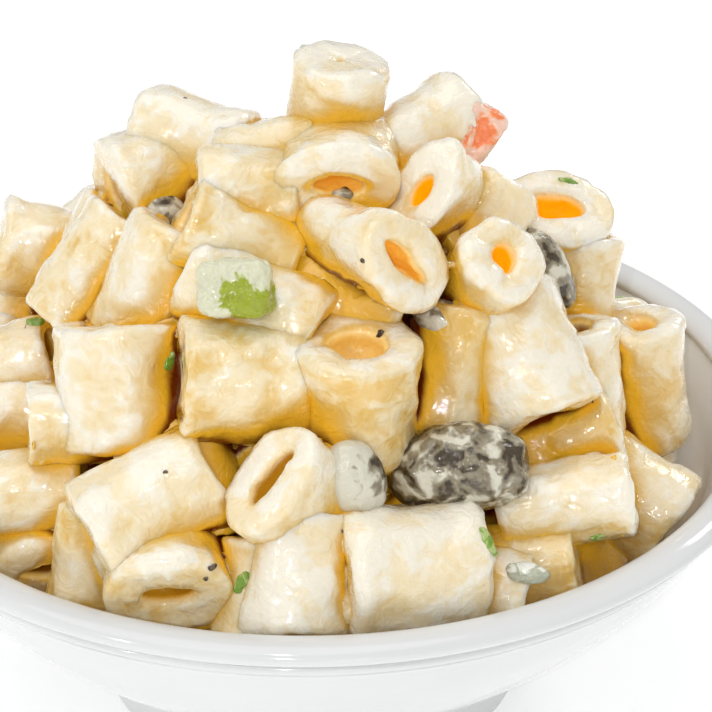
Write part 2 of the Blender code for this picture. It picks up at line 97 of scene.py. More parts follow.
def add_node(tree, kind, settings=None, inputs=None, output=0):
    """Adds a node to a tree and gives back one of its outputs. An input is a value or a socket."""
    node = tree.nodes.new(kind)
    for key, value in (settings or {}).items():
        setattr(node, key, value)
    for key, value in (inputs or {}).items():
        socket = socket_of(node.inputs, key)
        if isinstance(value, bpy.types.NodeSocket):
            tree.links.new(value, socket)
        else:
            socket.default_value = value
    if not node.outputs:
        return node
    return node.outputs[output] if isinstance(output, int) else socket_of(node.outputs, output)


def calculate(tree, operation, first, second=0.0, third=0.0):
    return add_node(tree, "ShaderNodeMath", {"operation": operation}, {0: first, 1: second, 2: third})


def add_share(tree, total, measure, amount):
    """A total plus a measure times an amount."""
    return calculate(tree, "MULTIPLY_ADD", measure, amount, total)


def add_swing(tree, total, pattern, amount):
    """A total plus how far a cloud pattern is from its middle, times an amount."""
    return add_share(tree, total, calculate(tree, "SUBTRACT", pattern, 0.5), amount)


def vector_sum(tree, first, second, operation="ADD"):
    return add_node(tree, "ShaderNodeVectorMath", {"operation": operation}, {0: first, 1: second})


def ramp_between(tree, value, low, high, start=0.0, end=1.0):
    """A smooth step: start below low, end above high."""
    settings = {"interpolation_type": "SMOOTHSTEP"}
    places = {"Value": value, "From Min": low, "From Max": high, "To Min": start, "To Max": end}
    return add_node(tree, "ShaderNodeMapRange", settings, places)


# %% Helpers for objects
def new_object(name, content, material=None):
    """Puts a mesh, a camera or a lamp into the scene as an object."""
    item = bpy.data.objects.new(name, content)
    bpy.context.scene.collection.objects.link(item)
    if material:
        content.materials.clear()
        content.materials.append(material)
    return item


def aim(item, direction):
    """Turns a camera or a lamp to look in a direction."""
    item.rotation_euler = direction.to_track_quat("-Z", "Y").to_euler()


def triangle_count(item):
    return sum(len(face.vertices) - 2 for face in item.data.polygons)


# %% [markdown]
# The heap is laid out from one eye: the photographer's. The place of each tube that the picture
# shows is given by the pixel that its middle shows at, so the camera comes first. The lens is
# long and looks down by 28 degrees, which is why the rim reads as a flat ellipse.

# %% The eye and the camera
RIM_LINE = 0.0373
EYE_DISTANCE = 0.3100
EYE_ELEVATION = math.radians(28.3)
EYE_AIM = Vector((0.00544, 0.0, RIM_LINE + 0.0055))
EYE_FOCAL_PIXELS = 2602.0
PICTURE = 712
SENSOR = 36.0
CLIP_START = 0.01

EYE_RIGHT = Vector((1.0, 0.0, 0.0))
EYE_UP = Vector((0.0, math.sin(EYE_ELEVATION), math.cos(EYE_ELEVATION)))
EYE_AHEAD = Vector((0.0, math.cos(EYE_ELEVATION), -math.sin(EYE_ELEVATION)))
EYE = EYE_AIM - EYE_AHEAD * EYE_DISTANCE

camera_data = bpy.data.cameras.new("camera")
camera_data.sensor_width = SENSOR
camera_data.lens = EYE_FOCAL_PIXELS / PICTURE * SENSOR
camera_data.clip_start = CLIP_START
camera = new_object("camera", camera_data)
camera.location = EYE
aim(camera, EYE_AHEAD)
bpy.context.scene.camera = camera
print(f"camera {EYE_DISTANCE * 1000:.0f} mm away, lens {camera_data.lens:.0f} mm")


# %% [markdown]
# The bowl is a turned solid, so one line of points, its profile, gives all of it. On the real
# one the lip is a thick roll, with a thin bead under it where the wall starts. The wall's rule
# is written once, because the pasta that leans on the inside needs it too.

# %% The bowl's rule
# Each drop is measured downwards from the rim line
BOWL_HEIGHT = 0.0380
RIM_ROLL_RADIUS = 0.0526
RIM_ROLL_HALF_WIDTH = 0.0022
RIM_ROLL_HALF_HEIGHT = 0.00125
SHOULDER_RADIUS = 0.0530
SHOULDER_DROP = 0.0030
WALL_TOP_RADIUS = 0.0518
WALL_THICKNESS = 0.0033
WALL_FOOT_RADIUS = 0.0200
WALL_START_DROP = 0.0040
WALL_DROP = 0.0340
WALL_BEND = 1.3
WALL_FULLNESS = 0.85
FLOOR_DROP = 0.0290
FOOT_OUTER_RADIUS = 0.0258
FOOT_INNER_RADIUS = 0.0228
FOOT_EDGE = 0.0004
FOOT_RECESS = 0.0030
FOOT_DROP = 0.0312
WALL_DROPS = np.linspace(0.0295, 0.0050, 26)
BEAD_RADIUS = 0.0006
BEAD_DEGREES = range(-70, 95, 15)
LIP_DEGREES = range(-58, 216, 9)
INSIDE_DROPS = np.linspace(0.0040, 0.0280, 18)
FLOOR_ROUNDING = 0.0022
BOWL_SEGMENTS = 192


def wall_radius(drop):
    """The outside radius of the bowl's wall at a drop below the rim line."""
    share = min(max((drop - WALL_START_DROP) / (WALL_DROP - WALL_START_DROP), 0.0), 1.0)
    spread = (1.0 - share ** WALL_BEND) ** WALL_FULLNESS
    return WALL_FOOT_RADIUS + (WALL_TOP_RADIUS - WALL_FOOT_RADIUS) * spread


def inner_radius(drop):
    """The inside radius of the bowl at a drop below the rim line."""
    lip = RIM_ROLL_RADIUS - RIM_ROLL_HALF_WIDTH
    if drop <= 0.0:
        return lip
    share = min(drop / WALL_START_DROP, 1.0)
    return lip + (wall_radius(max(drop, WALL_START_DROP)) - WALL_THICKNESS - lip) * share


def bowl_profile():
    """The bowl's section, from the axis below, round the outside and the lip, to the floor inside."""
    points = [(0.0, FOOT_RECESS), (FOOT_INNER_RADIUS - FOOT_EDGE, FOOT_RECESS)]
    points += [(FOOT_INNER_RADIUS, FOOT_EDGE), (FOOT_INNER_RADIUS + FOOT_EDGE, 0.0)]
    points += [(FOOT_OUTER_RADIUS - FOOT_EDGE, 0.0), (FOOT_OUTER_RADIUS, FOOT_EDGE)]
    points.append((FOOT_OUTER_RADIUS, RIM_LINE - FOOT_DROP))
    for drop in WALL_DROPS:
        points.append((wall_radius(drop), RIM_LINE - drop))
    bead_height = RIM_LINE - SHOULDER_DROP - BEAD_RADIUS
    for degrees in BEAD_DEGREES:
        angle = math.radians(degrees)
        radius = SHOULDER_RADIUS - BEAD_RADIUS * (1.0 - math.cos(angle))
        points.append((radius, bead_height + BEAD_RADIUS * (1.0 + math.sin(angle))))
    roll_height = BOWL_HEIGHT - RIM_ROLL_HALF_HEIGHT
    for degrees in LIP_DEGREES:
        angle = math.radians(degrees)
        radius = RIM_ROLL_RADIUS + RIM_ROLL_HALF_WIDTH * math.cos(angle)
        points.append((radius, roll_height + RIM_ROLL_HALF_HEIGHT * math.sin(angle)))
    for drop in INSIDE_DROPS:
        points.append((inner_radius(drop), RIM_LINE - drop))
    points.append((inner_radius(FLOOR_DROP) - FLOOR_ROUNDING, RIM_LINE - FLOOR_DROP))
    points.append((0.0, RIM_LINE - FLOOR_DROP))
    return points


# %% Turned meshes
def mesh_from(work, name):
    """Turns a bmesh into a mesh of that name."""
    result = bpy.data.meshes.new(name)
    work.to_mesh(result)
    work.free()
    return result


def turned_mesh(name, profile, segments):
    """A closed turned solid. Its profile starts and ends on the axis."""
    work = bmesh.new()
    rings = []
    for radius, height in profile:
        if radius == 0.0:
            rings.append([work.verts.new((0.0, 0.0, height))] * segments)
            continue
        angles = [2.0 * math.pi * k / segments for k in range(segments)]
        places = [(radius * math.cos(angle), radius * math.sin(angle), height) for angle in angles]
        rings.append([work.verts.new(place) for place in places])
    for low, high in zip(rings, rings[1:]):
        for k in range(segments):
            after = (k + 1) % segments
            work.faces.new(dict.fromkeys((low[k], low[after], high[after], high[k])))
    bmesh.ops.recalc_face_normals(work, faces=work.faces[:])
    return mesh_from(work, name)


# %% [markdown]
# The glaze on real porcelain is a thin clear glass over a white body, so it is smooth, very
# slightly blue-grey, and mirrors the lamps in small sharp lights. A faint long ripple in the
# glaze keeps those lights from being perfect lines.

# %% Glazed porcelain
PORCELAIN_WHITE = linear_colour("E3E4E4")
PORCELAIN_GREY = linear_colour("D9DADA")
RIPPLE_SIZE = 0.018
# The strength and the depth in metres
RIPPLE_BUMP = (0.06, 0.0004)
GLAZE_ROUGHNESS = (0.05, 0.12)


def new_material(name, roughness, ior=1.45):
    """A material with its Principled shader, and the place on the object for its patterns."""
    material = bpy.data.materials.new(name)
    material.use_nodes = True
    tree = material.node_tree
    shader = tree.nodes["Principled BSDF"]
    shader.inputs["Roughness"].default_value = roughness
    shader.inputs["IOR"].default_value = ior
    place = add_node(tree, "ShaderNodeTexCoord", output="Object")
    return material, tree, shader, place


def blend_colours(tree, share, first, second):
    inputs = {"Factor_Float": share, "A_Color": first, "B_Color": second}
    return add_node(tree, "ShaderNodeMix", {"data_type": "RGBA"}, inputs, "Result_Color")


def noise(tree, place, size, detail=2.0, distortion=0.0):
    """A cloud pattern whose blotches are about size metres across."""
    inputs = {"Vector": place, "Scale": 1.0 / size, "Detail": detail, "Distortion": distortion}
    return add_node(tree, "ShaderNodeTexNoise", None, inputs, "Fac")


def bump_on(tree, shader, height, strength, distance, target="Normal"):
    """Bends the light on a shader's surface, or on its clear coat, by a height pattern."""
    inputs = {"Strength": strength, "Distance": distance, "Height": height}
    tree.links.new(add_node(tree, "ShaderNodeBump", None, inputs), shader.inputs[target])


glaze, tree, shader, place = new_material("glazed_porcelain", 0.07, 1.50)
ripple = noise(tree, place, RIPPLE_SIZE, 1.0)
tree.links.new(blend_colours(tree, ripple, PORCELAIN_WHITE, PORCELAIN_GREY), shader.inputs["Base Color"])
bump_on(tree, shader, ripple, *RIPPLE_BUMP)
tree.links.new(ramp_between(tree, ripple, 0.3, 0.7, *GLAZE_ROUGHNESS), shader.inputs["Roughness"])

# %% The bowl
SHARP_EDGE = math.radians(42)

bowl = new_object("porcelain_bowl", turned_mesh("porcelain_bowl", bowl_profile(), BOWL_SEGMENTS), glaze)
bowl.data.shade_smooth()
bowl.data.set_sharp_from_angle(angle=SHARP_EDGE)
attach(bowl, BODY)
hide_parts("bowl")
print("bowl", len(bowl.data.polygons), "faces")


# %% [markdown]
# The heap follows a rule as well: a dome over the rim line that is lower at the back. A line of
# sight from the eye through a pixel meets the dome at one point, and the tube that shows there
# is put there, sunk by half its own thickness. Tubes that would cut into the bowl slide inwards.

# %% The heap's rule
HEAP_HEIGHT = 0.0455
HEAP_RADIUS = 0.0490
HEAP_FULLNESS = 1.7
BACK_FALL = 0.30
GAP = 0.0003
SIGHT_STEP = 0.0005
SIGHT_STEPS = range(400, 900)


def heap_height(x, y, inset=0.0):
    """The heap's height over the rim line at a place, inset from its outline, lower at the back."""
    share = math.hypot(x, y) / (HEAP_RADIUS - inset)
    height = (HEAP_HEIGHT - inset) * (1.0 - share ** HEAP_FULLNESS)
    return height * (1.0 - BACK_FALL * max(y, 0.0) / HEAP_RADIUS)


def sight_direction(px, py):
    across = (px - PICTURE / 2) / EYE_FOCAL_PIXELS
    upward = (PICTURE / 2 - py) / EYE_FOCAL_PIXELS
    return (EYE_AHEAD + EYE_RIGHT * across + EYE_UP * upward).normalized()


def on_heap(px, py, inset):
    """The point that a pixel's line of sight meets on the heap's surface, inset from its outline."""
    direction = sight_direction(px, py)
    best_point = None
    best_height = 1.0
    for count in SIGHT_STEPS:
        point = EYE + direction * (SIGHT_STEP * count)
        height = point.z - RIM_LINE - heap_height(point.x, point.y, inset)
        if height < best_height:
            best_height = height
            best_point = point
        if height < 0.0:
            break
    return best_point


def picture_frame(turn, lean, roll=0.0):
    """A frame whose Z is an axis given by its turn in the picture and its lean towards the eye."""
    turn = math.radians(turn)
    lean = math.radians(lean)
    along = EYE_RIGHT * math.cos(turn) + EYE_UP * math.sin(turn)
    axis = along * math.cos(lean) - EYE_AHEAD * math.sin(lean)
    side = EYE_UP * math.cos(turn) - EYE_RIGHT * math.sin(turn)
    other = axis.cross(side)
    return Matrix((side, other, axis)).transposed() @ Matrix.Rotation(math.radians(roll), 3, "Z")


def picture_point(point):
    """The pixel that a point shows at."""
    reach = point - EYE
    depth = reach.dot(EYE_AHEAD)
    px = PICTURE / 2 + EYE_FOCAL_PIXELS * reach.dot(EYE_RIGHT) / depth
    py = PICTURE / 2 - EYE_FOCAL_PIXELS * reach.dot(EYE_UP) / depth
    return px, py


# %% [markdown]
# Each row below is one tube that the picture shows. Cooked short tubes are 13 to 14 mm wide and
# about as long. Some are squeezed, so their section is flatter and the hole is a slit. The far
# side of the heap, which the picture doesn't show, is filled with tubes along a spiral, and a
# second, deeper layer lies under both, so that no gap shows anything but more pasta.

# %% The tubes that the picture shows
# One pasta tube. px, py: the picture's pixel that its middle shows at. turn: the way its
# nearer end points in the picture, in degrees from the right, anticlockwise. lean: how far
# that end leans out of the picture towards the eye. length, wide: millimetres. flat: its
# section's height over its width. roll: its section's turn about its own axis. hole: the
# hole's width in millimetres, 0 where dressing closes it. slit: the hole's height over its
# width. sink: millimetres further from the eye than the heap's own surface.
Tube = namedtuple("Tube", "name px py turn lean length wide flat roll hole slit sink",
                  defaults=(14.5, 13.5, 1.0, 0.0, 5.6, 0.9, 0.0))
FRONT_TUBES = (
    # Crown
    Tube("crown", 334, 117, 82, 31, length=14, wide=10.4, hole=0),
    Tube("crown_right", 420, 139, 215, 25, length=13.0, wide=10.2),
    Tube("crown_ring", 338, 165, 270, 62, length=12, wide=14, flat=0.68, hole=5.4, slit=0.42),
    Tube("crown_behind", 272, 160, 10, 5, length=11, wide=9, sink=3),
    # Upper left
    Tube("upper_left_top", 194, 147, -18, 15, length=12.5, wide=11.5),
    Tube("upper_left", 168, 174, 200, 22, length=14, wide=11.8, hole=4.0, slit=0.6),
    Tube("upper_left_inner", 247, 195, 180, 5, length=11, wide=10.5),
    Tube("upper_left_low", 236, 243, 156, 12, length=12.8, wide=9.8),
    Tube("far_left", 54, 254, 168, 8, length=13, wide=11),
    Tube("far_left_behind", 97, 256, 60, 10, length=13, wide=9, sink=5),
    # Left
    Tube("left_slanted", 98, 272, 58, 5, length=14.5, wide=11.0),
    Tube("left_slanted_inner", 158, 285, 65, 10, length=14, wide=11.5, sink=0.5),
    Tube("under_celery", 256, 302, -30, 5, length=15.5, wide=11.5, sink=1.0),
    Tube("left_big", 121, 386, 92, 6, length=13.8, wide=14.0, sink=-1.0),
    Tube("left_big_behind", 84, 424, 180, 6, length=12, wide=9, sink=0.5),
    Tube("left_edge_top", 2, 366, 12, 10, length=13, wide=9),
    Tube("left_edge", -2, 412, 2, 5, wide=10.5, sink=2),
    Tube("left_edge_low", 18, 492, 5, 5, length=15, wide=9),
    Tube("left_edge_slit", -2, 546, 280, 48, length=12, wide=12, flat=0.75, hole=6, slit=0.3),
    Tube("left_upright", 70, 570, 80, 10, length=12, wide=8.5),
    # Middle
    Tube("middle_block", 243, 381, 180, 8, length=13.5, wide=13.8),
    Tube("middle_ring", 357, 394, 88, 33, length=13, wide=13.3, hole=6.2, slit=0.9),
    Tube("middle_slit", 370, 252, -20, 50, length=13, wide=13, flat=0.66, roll=-110, hole=7.4, slit=0.26,
         sink=-1.0),
    Tube("middle_shaded", 345, 300, -15, 5, length=13, wide=9.5, sink=4),
    Tube("middle_deep", 450, 366, 80, 5, length=14, wide=10.5, sink=5),
    # Upper right
    Tube("slanted_slit", 437, 204, 145, 66, length=11, wide=13.0, flat=0.56, hole=3.6, slit=0.4),
    Tube("slanted_behind", 472, 235, 235, 10, length=13, wide=10, sink=2),
    Tube("right_ring", 549, 235, 80, 58, length=12, wide=13.6, flat=0.74, hole=6.2, slit=0.55),
    Tube("round_ring", 479, 280, 42, 58, length=13, wide=9.4, roll=-45, hole=3.2, slit=0.75, sink=-1.0),
    Tube("right_shoulder", 575, 288, 80, 10, length=13, wide=9.5, sink=3),
    # Right
    Tube("right_slanted", 520, 358, 293, 8, length=14.5, wide=13.8, sink=-1.0),
    Tube("right_upright_inner", 573, 381, 95, 15, length=13, wide=11.5, sink=2),
    Tube("right_upright", 643, 381, 97, 27, length=15.5, wide=10.6, hole=3.8, slit=0.9),
    Tube("right_shaded", 561, 440, 20, 5, length=12.5, wide=9.6, sink=5),
    Tube("right_low", 657, 493, -35, 6, length=14.5, wide=12.0, sink=-4),
    Tube("right_level", 565, 503, 8, 6, length=14.5, wide=9.4, sink=-0.5),
    Tube("right_under", 535, 573, 5, 5, length=12.5, wide=9.5, sink=1.5),
    # Front
    Tube("front_block", 408, 567, 185, 16, length=15, wide=13.7),
    Tube("front_upright", 297, 577, 266, 6, length=12.6, wide=12),
    Tube("front_ring", 297, 496, 142, 50, length=11, wide=13, flat=0.68, hole=7.0, slit=0.32),
    Tube("front_right", 484, 592, -14, 5, length=13, wide=9, sink=0.5),
    Tube("front_left_slit", 166, 560, 275, 50, length=12, wide=13.6, flat=0.8, hole=6.0, slit=0.36),
    Tube("front_left_turned", 150, 507, 207, 12, length=14.5, wide=12.8, sink=-1.5),
    Tube("front_left_strip", 201, 486, -75, 5, length=12, wide=8.5, sink=4),
    Tube("front_sliver", 251, 598, 86, 5, length=12, wide=8, sink=2),
)

# The heap's upper outline in the picture, which the tubes of the far side stay below
OUTLINE_PX = (-80, -20, 60, 100, 150, 240, 300, 345, 375, 430, 480, 500, 560, 612, 640, 690, 712, 790)
OUTLINE_PY = (400, 255, 205, 180, 95, 103, 125, 60, 115, 90, 118, 190, 180, 215, 300, 312, 440, 520)
LOWEST_SLIDE = 0.016

# The spiral of tubes on the far side
BACK_TUBES = 46
BACK_TUBE_SPACING = 0.0086
BACK_REACH = 0.0020
BACK_SINK = 0.0010
BACK_FRONT_LIMIT = -0.012
BACK_STEEPNESS = 0.3
BACK_TILTS = (-0.1, 0.9)
BACK_LENGTHS = (0.88, 1.05)
BACK_WIDTHS = (0.8, 1.0)
BACK_FLATS = (0.72, 0.85, 1.0, 1.0)
BACK_SLITS = (0.35, 0.7, 0.9)
BACK_SEED = 11
GOLDEN_ANGLE = math.pi * (3.0 - math.sqrt(5.0))

# %% The tubes on the far side and underneath
TUBE_DIAMETER = 0.0135
TUBE_LENGTH = 0.0145
TUBE_HOLE = 0.0056
TUBE_SIDES = 10
DEEP_TUBES = 54
DEEP_DROP = 0.0120
DEEP_REACH = 0.004
DEEP_LOWEST = -0.006
# The deep tubes' directions spread less upwards than sideways
DEEP_SPREADS = (1, 1, 0.7)
DEEP_SIZES = (0.95, 0.92)
DEEP_FLATS = (0.8, 1.0)
DEEP_SLIT = 0.8
DEEP_SEED = 23
SLIDE_TRIES = 12
SINK_PER_SLIDE = 0.15
LOWERING_TRIES = 8


def bowl_overlap(points):
    """How far the farthest of some points reaches past the bowl's inside, outwards and downwards."""
    outward = 0.0
    downward = 0.0
    for point in points:
        drop = RIM_LINE - point.z
        radius = math.hypot(point.x, point.y)
        if drop > -(BOWL_HEIGHT - RIM_LINE) - GAP and radius < RIM_ROLL_RADIUS + RIM_ROLL_HALF_WIDTH + GAP:
            outward = max(outward, radius - inner_radius(max(drop, 0.0)) + 2 * GAP)
        downward = max(downward, drop - FLOOR_DROP + 2 * GAP)
    return outward, downward


def tube_outline(place, frame, length, wide, flat):
    points = []
    for level in (-length / 2, 0.0, length / 2):
        for k in range(TUBE_SIDES):
            angle = 2.0 * math.pi * (k + 0.5) / TUBE_SIDES
            corner = Vector((wide / 2 * math.cos(angle), wide * flat / 2 * math.sin(angle), level))
            points.append(place + frame @ corner)
    return points


def clear_of_bowl(place, frame, length, wide, flat):
    """Slides a tube inwards and up until it is clear of the bowl's inside."""
    place = place.copy()
    for attempt in range(SLIDE_TRIES):
        outward, downward = bowl_overlap(tube_outline(place, frame, length, wide, flat))
        if outward <= 0.0 and downward <= 0.0:
            break
        radius = max(math.hypot(place.x, place.y), 0.001)
        place.x -= place.x / radius * outward
        place.y -= place.y / radius * outward
        place.z += max(downward, 0.0) - SINK_PER_SLIDE * outward
    return place


def front_tube_places():
    placed = []
    for item in FRONT_TUBES:
        frame = picture_frame(item.turn, item.lean, item.roll)
        inset = item.wide * item.flat / 2000
        place = on_heap(item.px, item.py, inset) + sight_direction(item.px, item.py) * (item.sink / 1000)
        sizes = (item.length / 1000, item.wide / 1000, item.flat, item.hole / 1000, item.slit)
        placed.append((clear_of_bowl(place, frame, *sizes[:3]), frame, sizes))
    return placed


def frame_along(axis):
    side = axis.orthogonal().normalized()
    return Matrix((side, axis.cross(side), axis)).transposed()


def below_outline(place, frame, length, wide, flat):
    """Lowers a tube of the far side until the heap in front hides it, or gives None if that is too far."""
    lowered = place.copy()
    pixel = EYE_DISTANCE / EYE_FOCAL_PIXELS
    for attempt in range(LOWERING_TRIES):
        above = 0.0
        for point in tube_outline(lowered, frame, length, wide, flat):
            px, py = picture_point(point)
            above = max(above, float(np.interp(px, OUTLINE_PX, OUTLINE_PY)) - py)
        if above <= 0.0:
            return lowered
        lowered.z -= above * pixel / math.cos(EYE_ELEVATION)
        if place.z - lowered.z > LOWEST_SLIDE:
            return None
    return lowered


def spiral_place(reach, k, count):
    """The radius, x and y of one of count places that fill a disc evenly, along a spiral."""
    radius = reach * math.sqrt((k + 0.5) / count)
    return radius, radius * math.cos(GOLDEN_ANGLE * k), radius * math.sin(GOLDEN_ANGLE * k)


def back_tube_places(taken):
    """Tubes of the far side: a spiral over the heap, leaving out what lies near a placed tube."""
    draw = random.Random(BACK_SEED)
    inset = TUBE_DIAMETER / 2
    reach = HEAP_RADIUS - inset + BACK_REACH
    places = [place for place, frame, sizes in taken]
    placed = []
    for k in range(BACK_TUBES * 3):
        radius, x, y = spiral_place(reach, k, BACK_TUBES * 3)
        place = Vector((x, y, RIM_LINE + heap_height(x, y, inset) - BACK_SINK))
        if min((place - other).length for other in places) < BACK_TUBE_SPACING:
            continue
        if place.y < BACK_FRONT_LIMIT or len(placed) >= BACK_TUBES:
            continue
        slope = math.atan2(HEAP_HEIGHT, HEAP_RADIUS) * (BACK_STEEPNESS + radius / reach)
        outward = Vector((x, y, radius / math.tan(slope))).normalized()
        across = outward.cross(Vector((0.0, 0.0, 1.0))).normalized()
        along = across * math.cos(draw.uniform(0, math.pi))
        along += across.cross(outward) * math.sin(draw.uniform(0, math.pi))
        frame = frame_along((along.normalized() + outward * draw.uniform(*BACK_TILTS)).normalized())
        length = TUBE_LENGTH * draw.uniform(*BACK_LENGTHS)
        wide = TUBE_DIAMETER * draw.uniform(*BACK_WIDTHS)
        flat = draw.choice(BACK_FLATS)
        sizes = (length, wide, flat, TUBE_HOLE * wide / TUBE_DIAMETER, draw.choice(BACK_SLITS))
        place = below_outline(place, frame, *sizes[:3])
        if place is None:
            continue
        place = clear_of_bowl(place, frame, *sizes[:3])
        places.append(place)
        placed.append((place, frame, sizes))
    return placed


def deep_tube_places():
    """The layer underneath: a spiral one tube lower, each tube turned at random."""
    draw = random.Random(DEEP_SEED)
    inset = TUBE_DIAMETER / 2 + DEEP_DROP
    reach = HEAP_RADIUS - inset + DEEP_REACH
    placed = []
    for k in range(DEEP_TUBES):
        radius, x, y = spiral_place(reach, k, DEEP_TUBES)
        height = max(heap_height(x, y, inset), DEEP_LOWEST)
        frame = frame_along(Vector([draw.gauss(0, spread) for spread in DEEP_SPREADS]).normalized())
        sizes = (TUBE_LENGTH * DEEP_SIZES[0], TUBE_DIAMETER * DEEP_SIZES[1], draw.choice(DEEP_FLATS),
                 TUBE_HOLE, DEEP_SLIT)
        placed.append((clear_of_bowl(Vector((x, y, RIM_LINE + height)), frame, *sizes[:3]), frame, sizes))
    return placed


front_places = front_tube_places()
back_places = back_tube_places(front_places)
deep_places = deep_tube_places()
print(len(front_places), "tubes in the picture,", len(back_places), "behind,",
      len(deep_places), "underneath")


# %% [markdown]
# A pasta tube is its wall carried round a ring. The Geometry Nodes tree draws the wall's section
# as a rectangle with rounded corners, carries it round a circle, and puts one such standard tube
# on each place. Then it bends each copy to its own sizes: a point of the wall keeps its share of
# the way from the hole to the outside, and its share of the length. The hole narrows a little
# way in, as it does where dressing and pasta block it. Last come the dents of soft cooked pasta,
# and the finer lumps of the dressing that coats it.

# %% A Geometry Nodes tree for pasta tubes
WALL = 0.0040
RING_RADIUS = 0.0050
# Both are shares of half the length. The hole is narrow from the first inwards, and has its
# full size from the second outwards.
HOLE_NARROWS = (0.30, 0.72)
NARROW_SHARE = 0.25
# A tube is a little wider at its ends than in its middle
WAIST = 0.97
FLARE = 0.045
GRAIN_STRETCH = 0.22
COAT_EDGE = (0.47, 0.55)


def new_tree(name, extra):
    """A tree with geometry in and out, and further named inputs."""
    tree = bpy.data.node_groups.new(name, "GeometryNodeTree")
    tree.interface.new_socket("Geometry", in_out="INPUT", socket_type="NodeSocketGeometry")
    tree.interface.new_socket("Geometry", in_out="OUTPUT", socket_type="NodeSocketGeometry")
    for title, kind, value in extra:
        socket = tree.interface.new_socket(title, in_out="INPUT", socket_type=f"NodeSocket{kind}")
        if value is not None:
            socket.default_value = value
    start = tree.nodes.new("NodeGroupInput")
    return tree, {socket.name: socket for socket in start.outputs if socket.name}


def end_tree(tree, geometry, material):
    """Gives the result its material and hands it out."""
    geometry = add_node(tree, "GeometryNodeSetMaterial", None, {"Geometry": geometry, "Material": material})
    add_node(tree, "NodeGroupOutput", None, {"Geometry": geometry})


def named(tree, title, kind="FLOAT_VECTOR"):
    inputs = {"Name": title}
    return add_node(tree, "GeometryNodeInputNamedAttribute", {"data_type": kind}, inputs, "Attribute")


def stored(tree, geometry, title, value, kind="FLOAT_VECTOR"):
    return add_node(tree, "GeometryNodeStoreNamedAttribute", {"data_type": kind, "domain": "POINT"},
                    {"Geometry": geometry, "Name": title, "Value": value})


def split(tree, vector, axis):
    return add_node(tree, "ShaderNodeSeparateXYZ", None, {0: vector}, axis)


def scaled(tree, vector, factor):
    return add_node(tree, "ShaderNodeVectorMath", {"operation": "SCALE"}, {0: vector, "Scale": factor})


def moved(tree, geometry, offset):
    return add_node(tree, "GeometryNodeSetPosition", None, {"Geometry": geometry, "Offset": offset})


def surface_lumps(tree, geometry, size, depth, detail=1.0):
    """Moves a surface in and out by a cloud pattern, up to depth metres each way."""
    position = add_node(tree, "GeometryNodeInputPosition")
    cloud = add_node(tree, "ShaderNodeTexNoise", None,
                     {"Vector": position, "Scale": calculate(tree, "DIVIDE", 1.0, size), "Detail": detail})
    swing = calculate(tree, "MULTIPLY", calculate(tree, "SUBTRACT", cloud, 0.5), 2.0)
    normal = add_node(tree, "GeometryNodeInputNormal")
    return moved(tree, geometry, scaled(tree, normal, calculate(tree, "MULTIPLY", swing, depth)))


tube_tree, given = new_tree("pasta_tubes", (
    ("Around", "Int", 46), ("Section step", "Float", 0.0009), ("Section length", "Float", TUBE_LENGTH),
    ("Rounding", "Float", 0.0008), ("Hole growth", "Float", 0.0), ("Dent size", "Float", 0.0070),
    ("Dent depth", "Float", 0.0008), ("Lump size", "Float", 0.0024), ("Lump depth", "Float", 0.00024),
    ("Coat size", "Float", 0.0048), ("Coat depth", "Float", 0.00024), ("Material", "Material", None)))
section = add_node(tube_tree, "GeometryNodeCurvePrimitiveQuadrilateral", {"mode": "RECTANGLE"},
                   {"Width": WALL, "Height": given["Section length"]})
section = add_node(tube_tree, "GeometryNodeFilletCurve", {"mode": "POLY"},
                   {"Curve": section, "Count": 5, "Radius": given["Rounding"]})
section = add_node(tube_tree, "GeometryNodeResampleCurve", {"mode": "LENGTH"},
                   {"Curve": section, "Length": given["Section step"]})
circle = add_node(tube_tree, "GeometryNodeCurvePrimitiveCircle", {"mode": "RADIUS"},
                  {"Resolution": given["Around"], "Radius": RING_RADIUS})
ring = add_node(tube_tree, "GeometryNodeCurveToMesh", None, {"Curve": circle, "Profile Curve": section})
standard = add_node(tube_tree, "GeometryNodeInputPosition")
ring = stored(tube_tree, ring, "standard", standard)
copies = add_node(tube_tree, "GeometryNodeInstanceOnPoints", None,
                  {"Points": given["Geometry"], "Instance": ring})
copies = add_node(tube_tree, "GeometryNodeRealizeInstances", None, {"Geometry": copies})

flat_part = vector_sum(tube_tree, named(tube_tree, "standard"), (1.0, 1.0, 0.0), "MULTIPLY")
reach = add_node(tube_tree, "ShaderNodeVectorMath", {"operation": "LENGTH"}, {0: flat_part}, "Value")
heading = add_node(tube_tree, "ShaderNodeVectorMath", {"operation": "NORMALIZE"}, {0: flat_part})
# share: a point's share of the way through the wall. level: its place along the tube, -1 to 1.
share = calculate(tube_tree, "SUBTRACT", reach, RING_RADIUS)
share = calculate(tube_tree, "ADD", calculate(tube_tree, "DIVIDE", share, WALL), 0.5)
half_length = calculate(tube_tree, "MULTIPLY", given["Section length"], 0.5)
level = calculate(tube_tree, "DIVIDE", split(tube_tree, named(tube_tree, "standard"), "Z"), half_length)
far = calculate(tube_tree, "ABSOLUTE", level)
narrowed = ramp_between(tube_tree, far, *HOLE_NARROWS, NARROW_SHARE, 1.0)
hole = vector_sum(tube_tree, named(tube_tree, "hole_size"), given["Hole growth"])
hole = scaled(tube_tree, hole, calculate(tube_tree, "MULTIPLY", narrowed, 0.5))
bulge = calculate(tube_tree, "MULTIPLY_ADD", calculate(tube_tree, "MULTIPLY", level, level), FLARE, WAIST)
outside = scaled(tube_tree, named(tube_tree, "outer_size"), calculate(tube_tree, "MULTIPLY", bulge, 0.5))
half_sizes = add_node(tube_tree, "ShaderNodeMix", {"data_type": "VECTOR", "clamp_factor": False},
                      {"Factor_Float": share, "A_Vector": hole, "B_Vector": outside}, "Result_Vector")
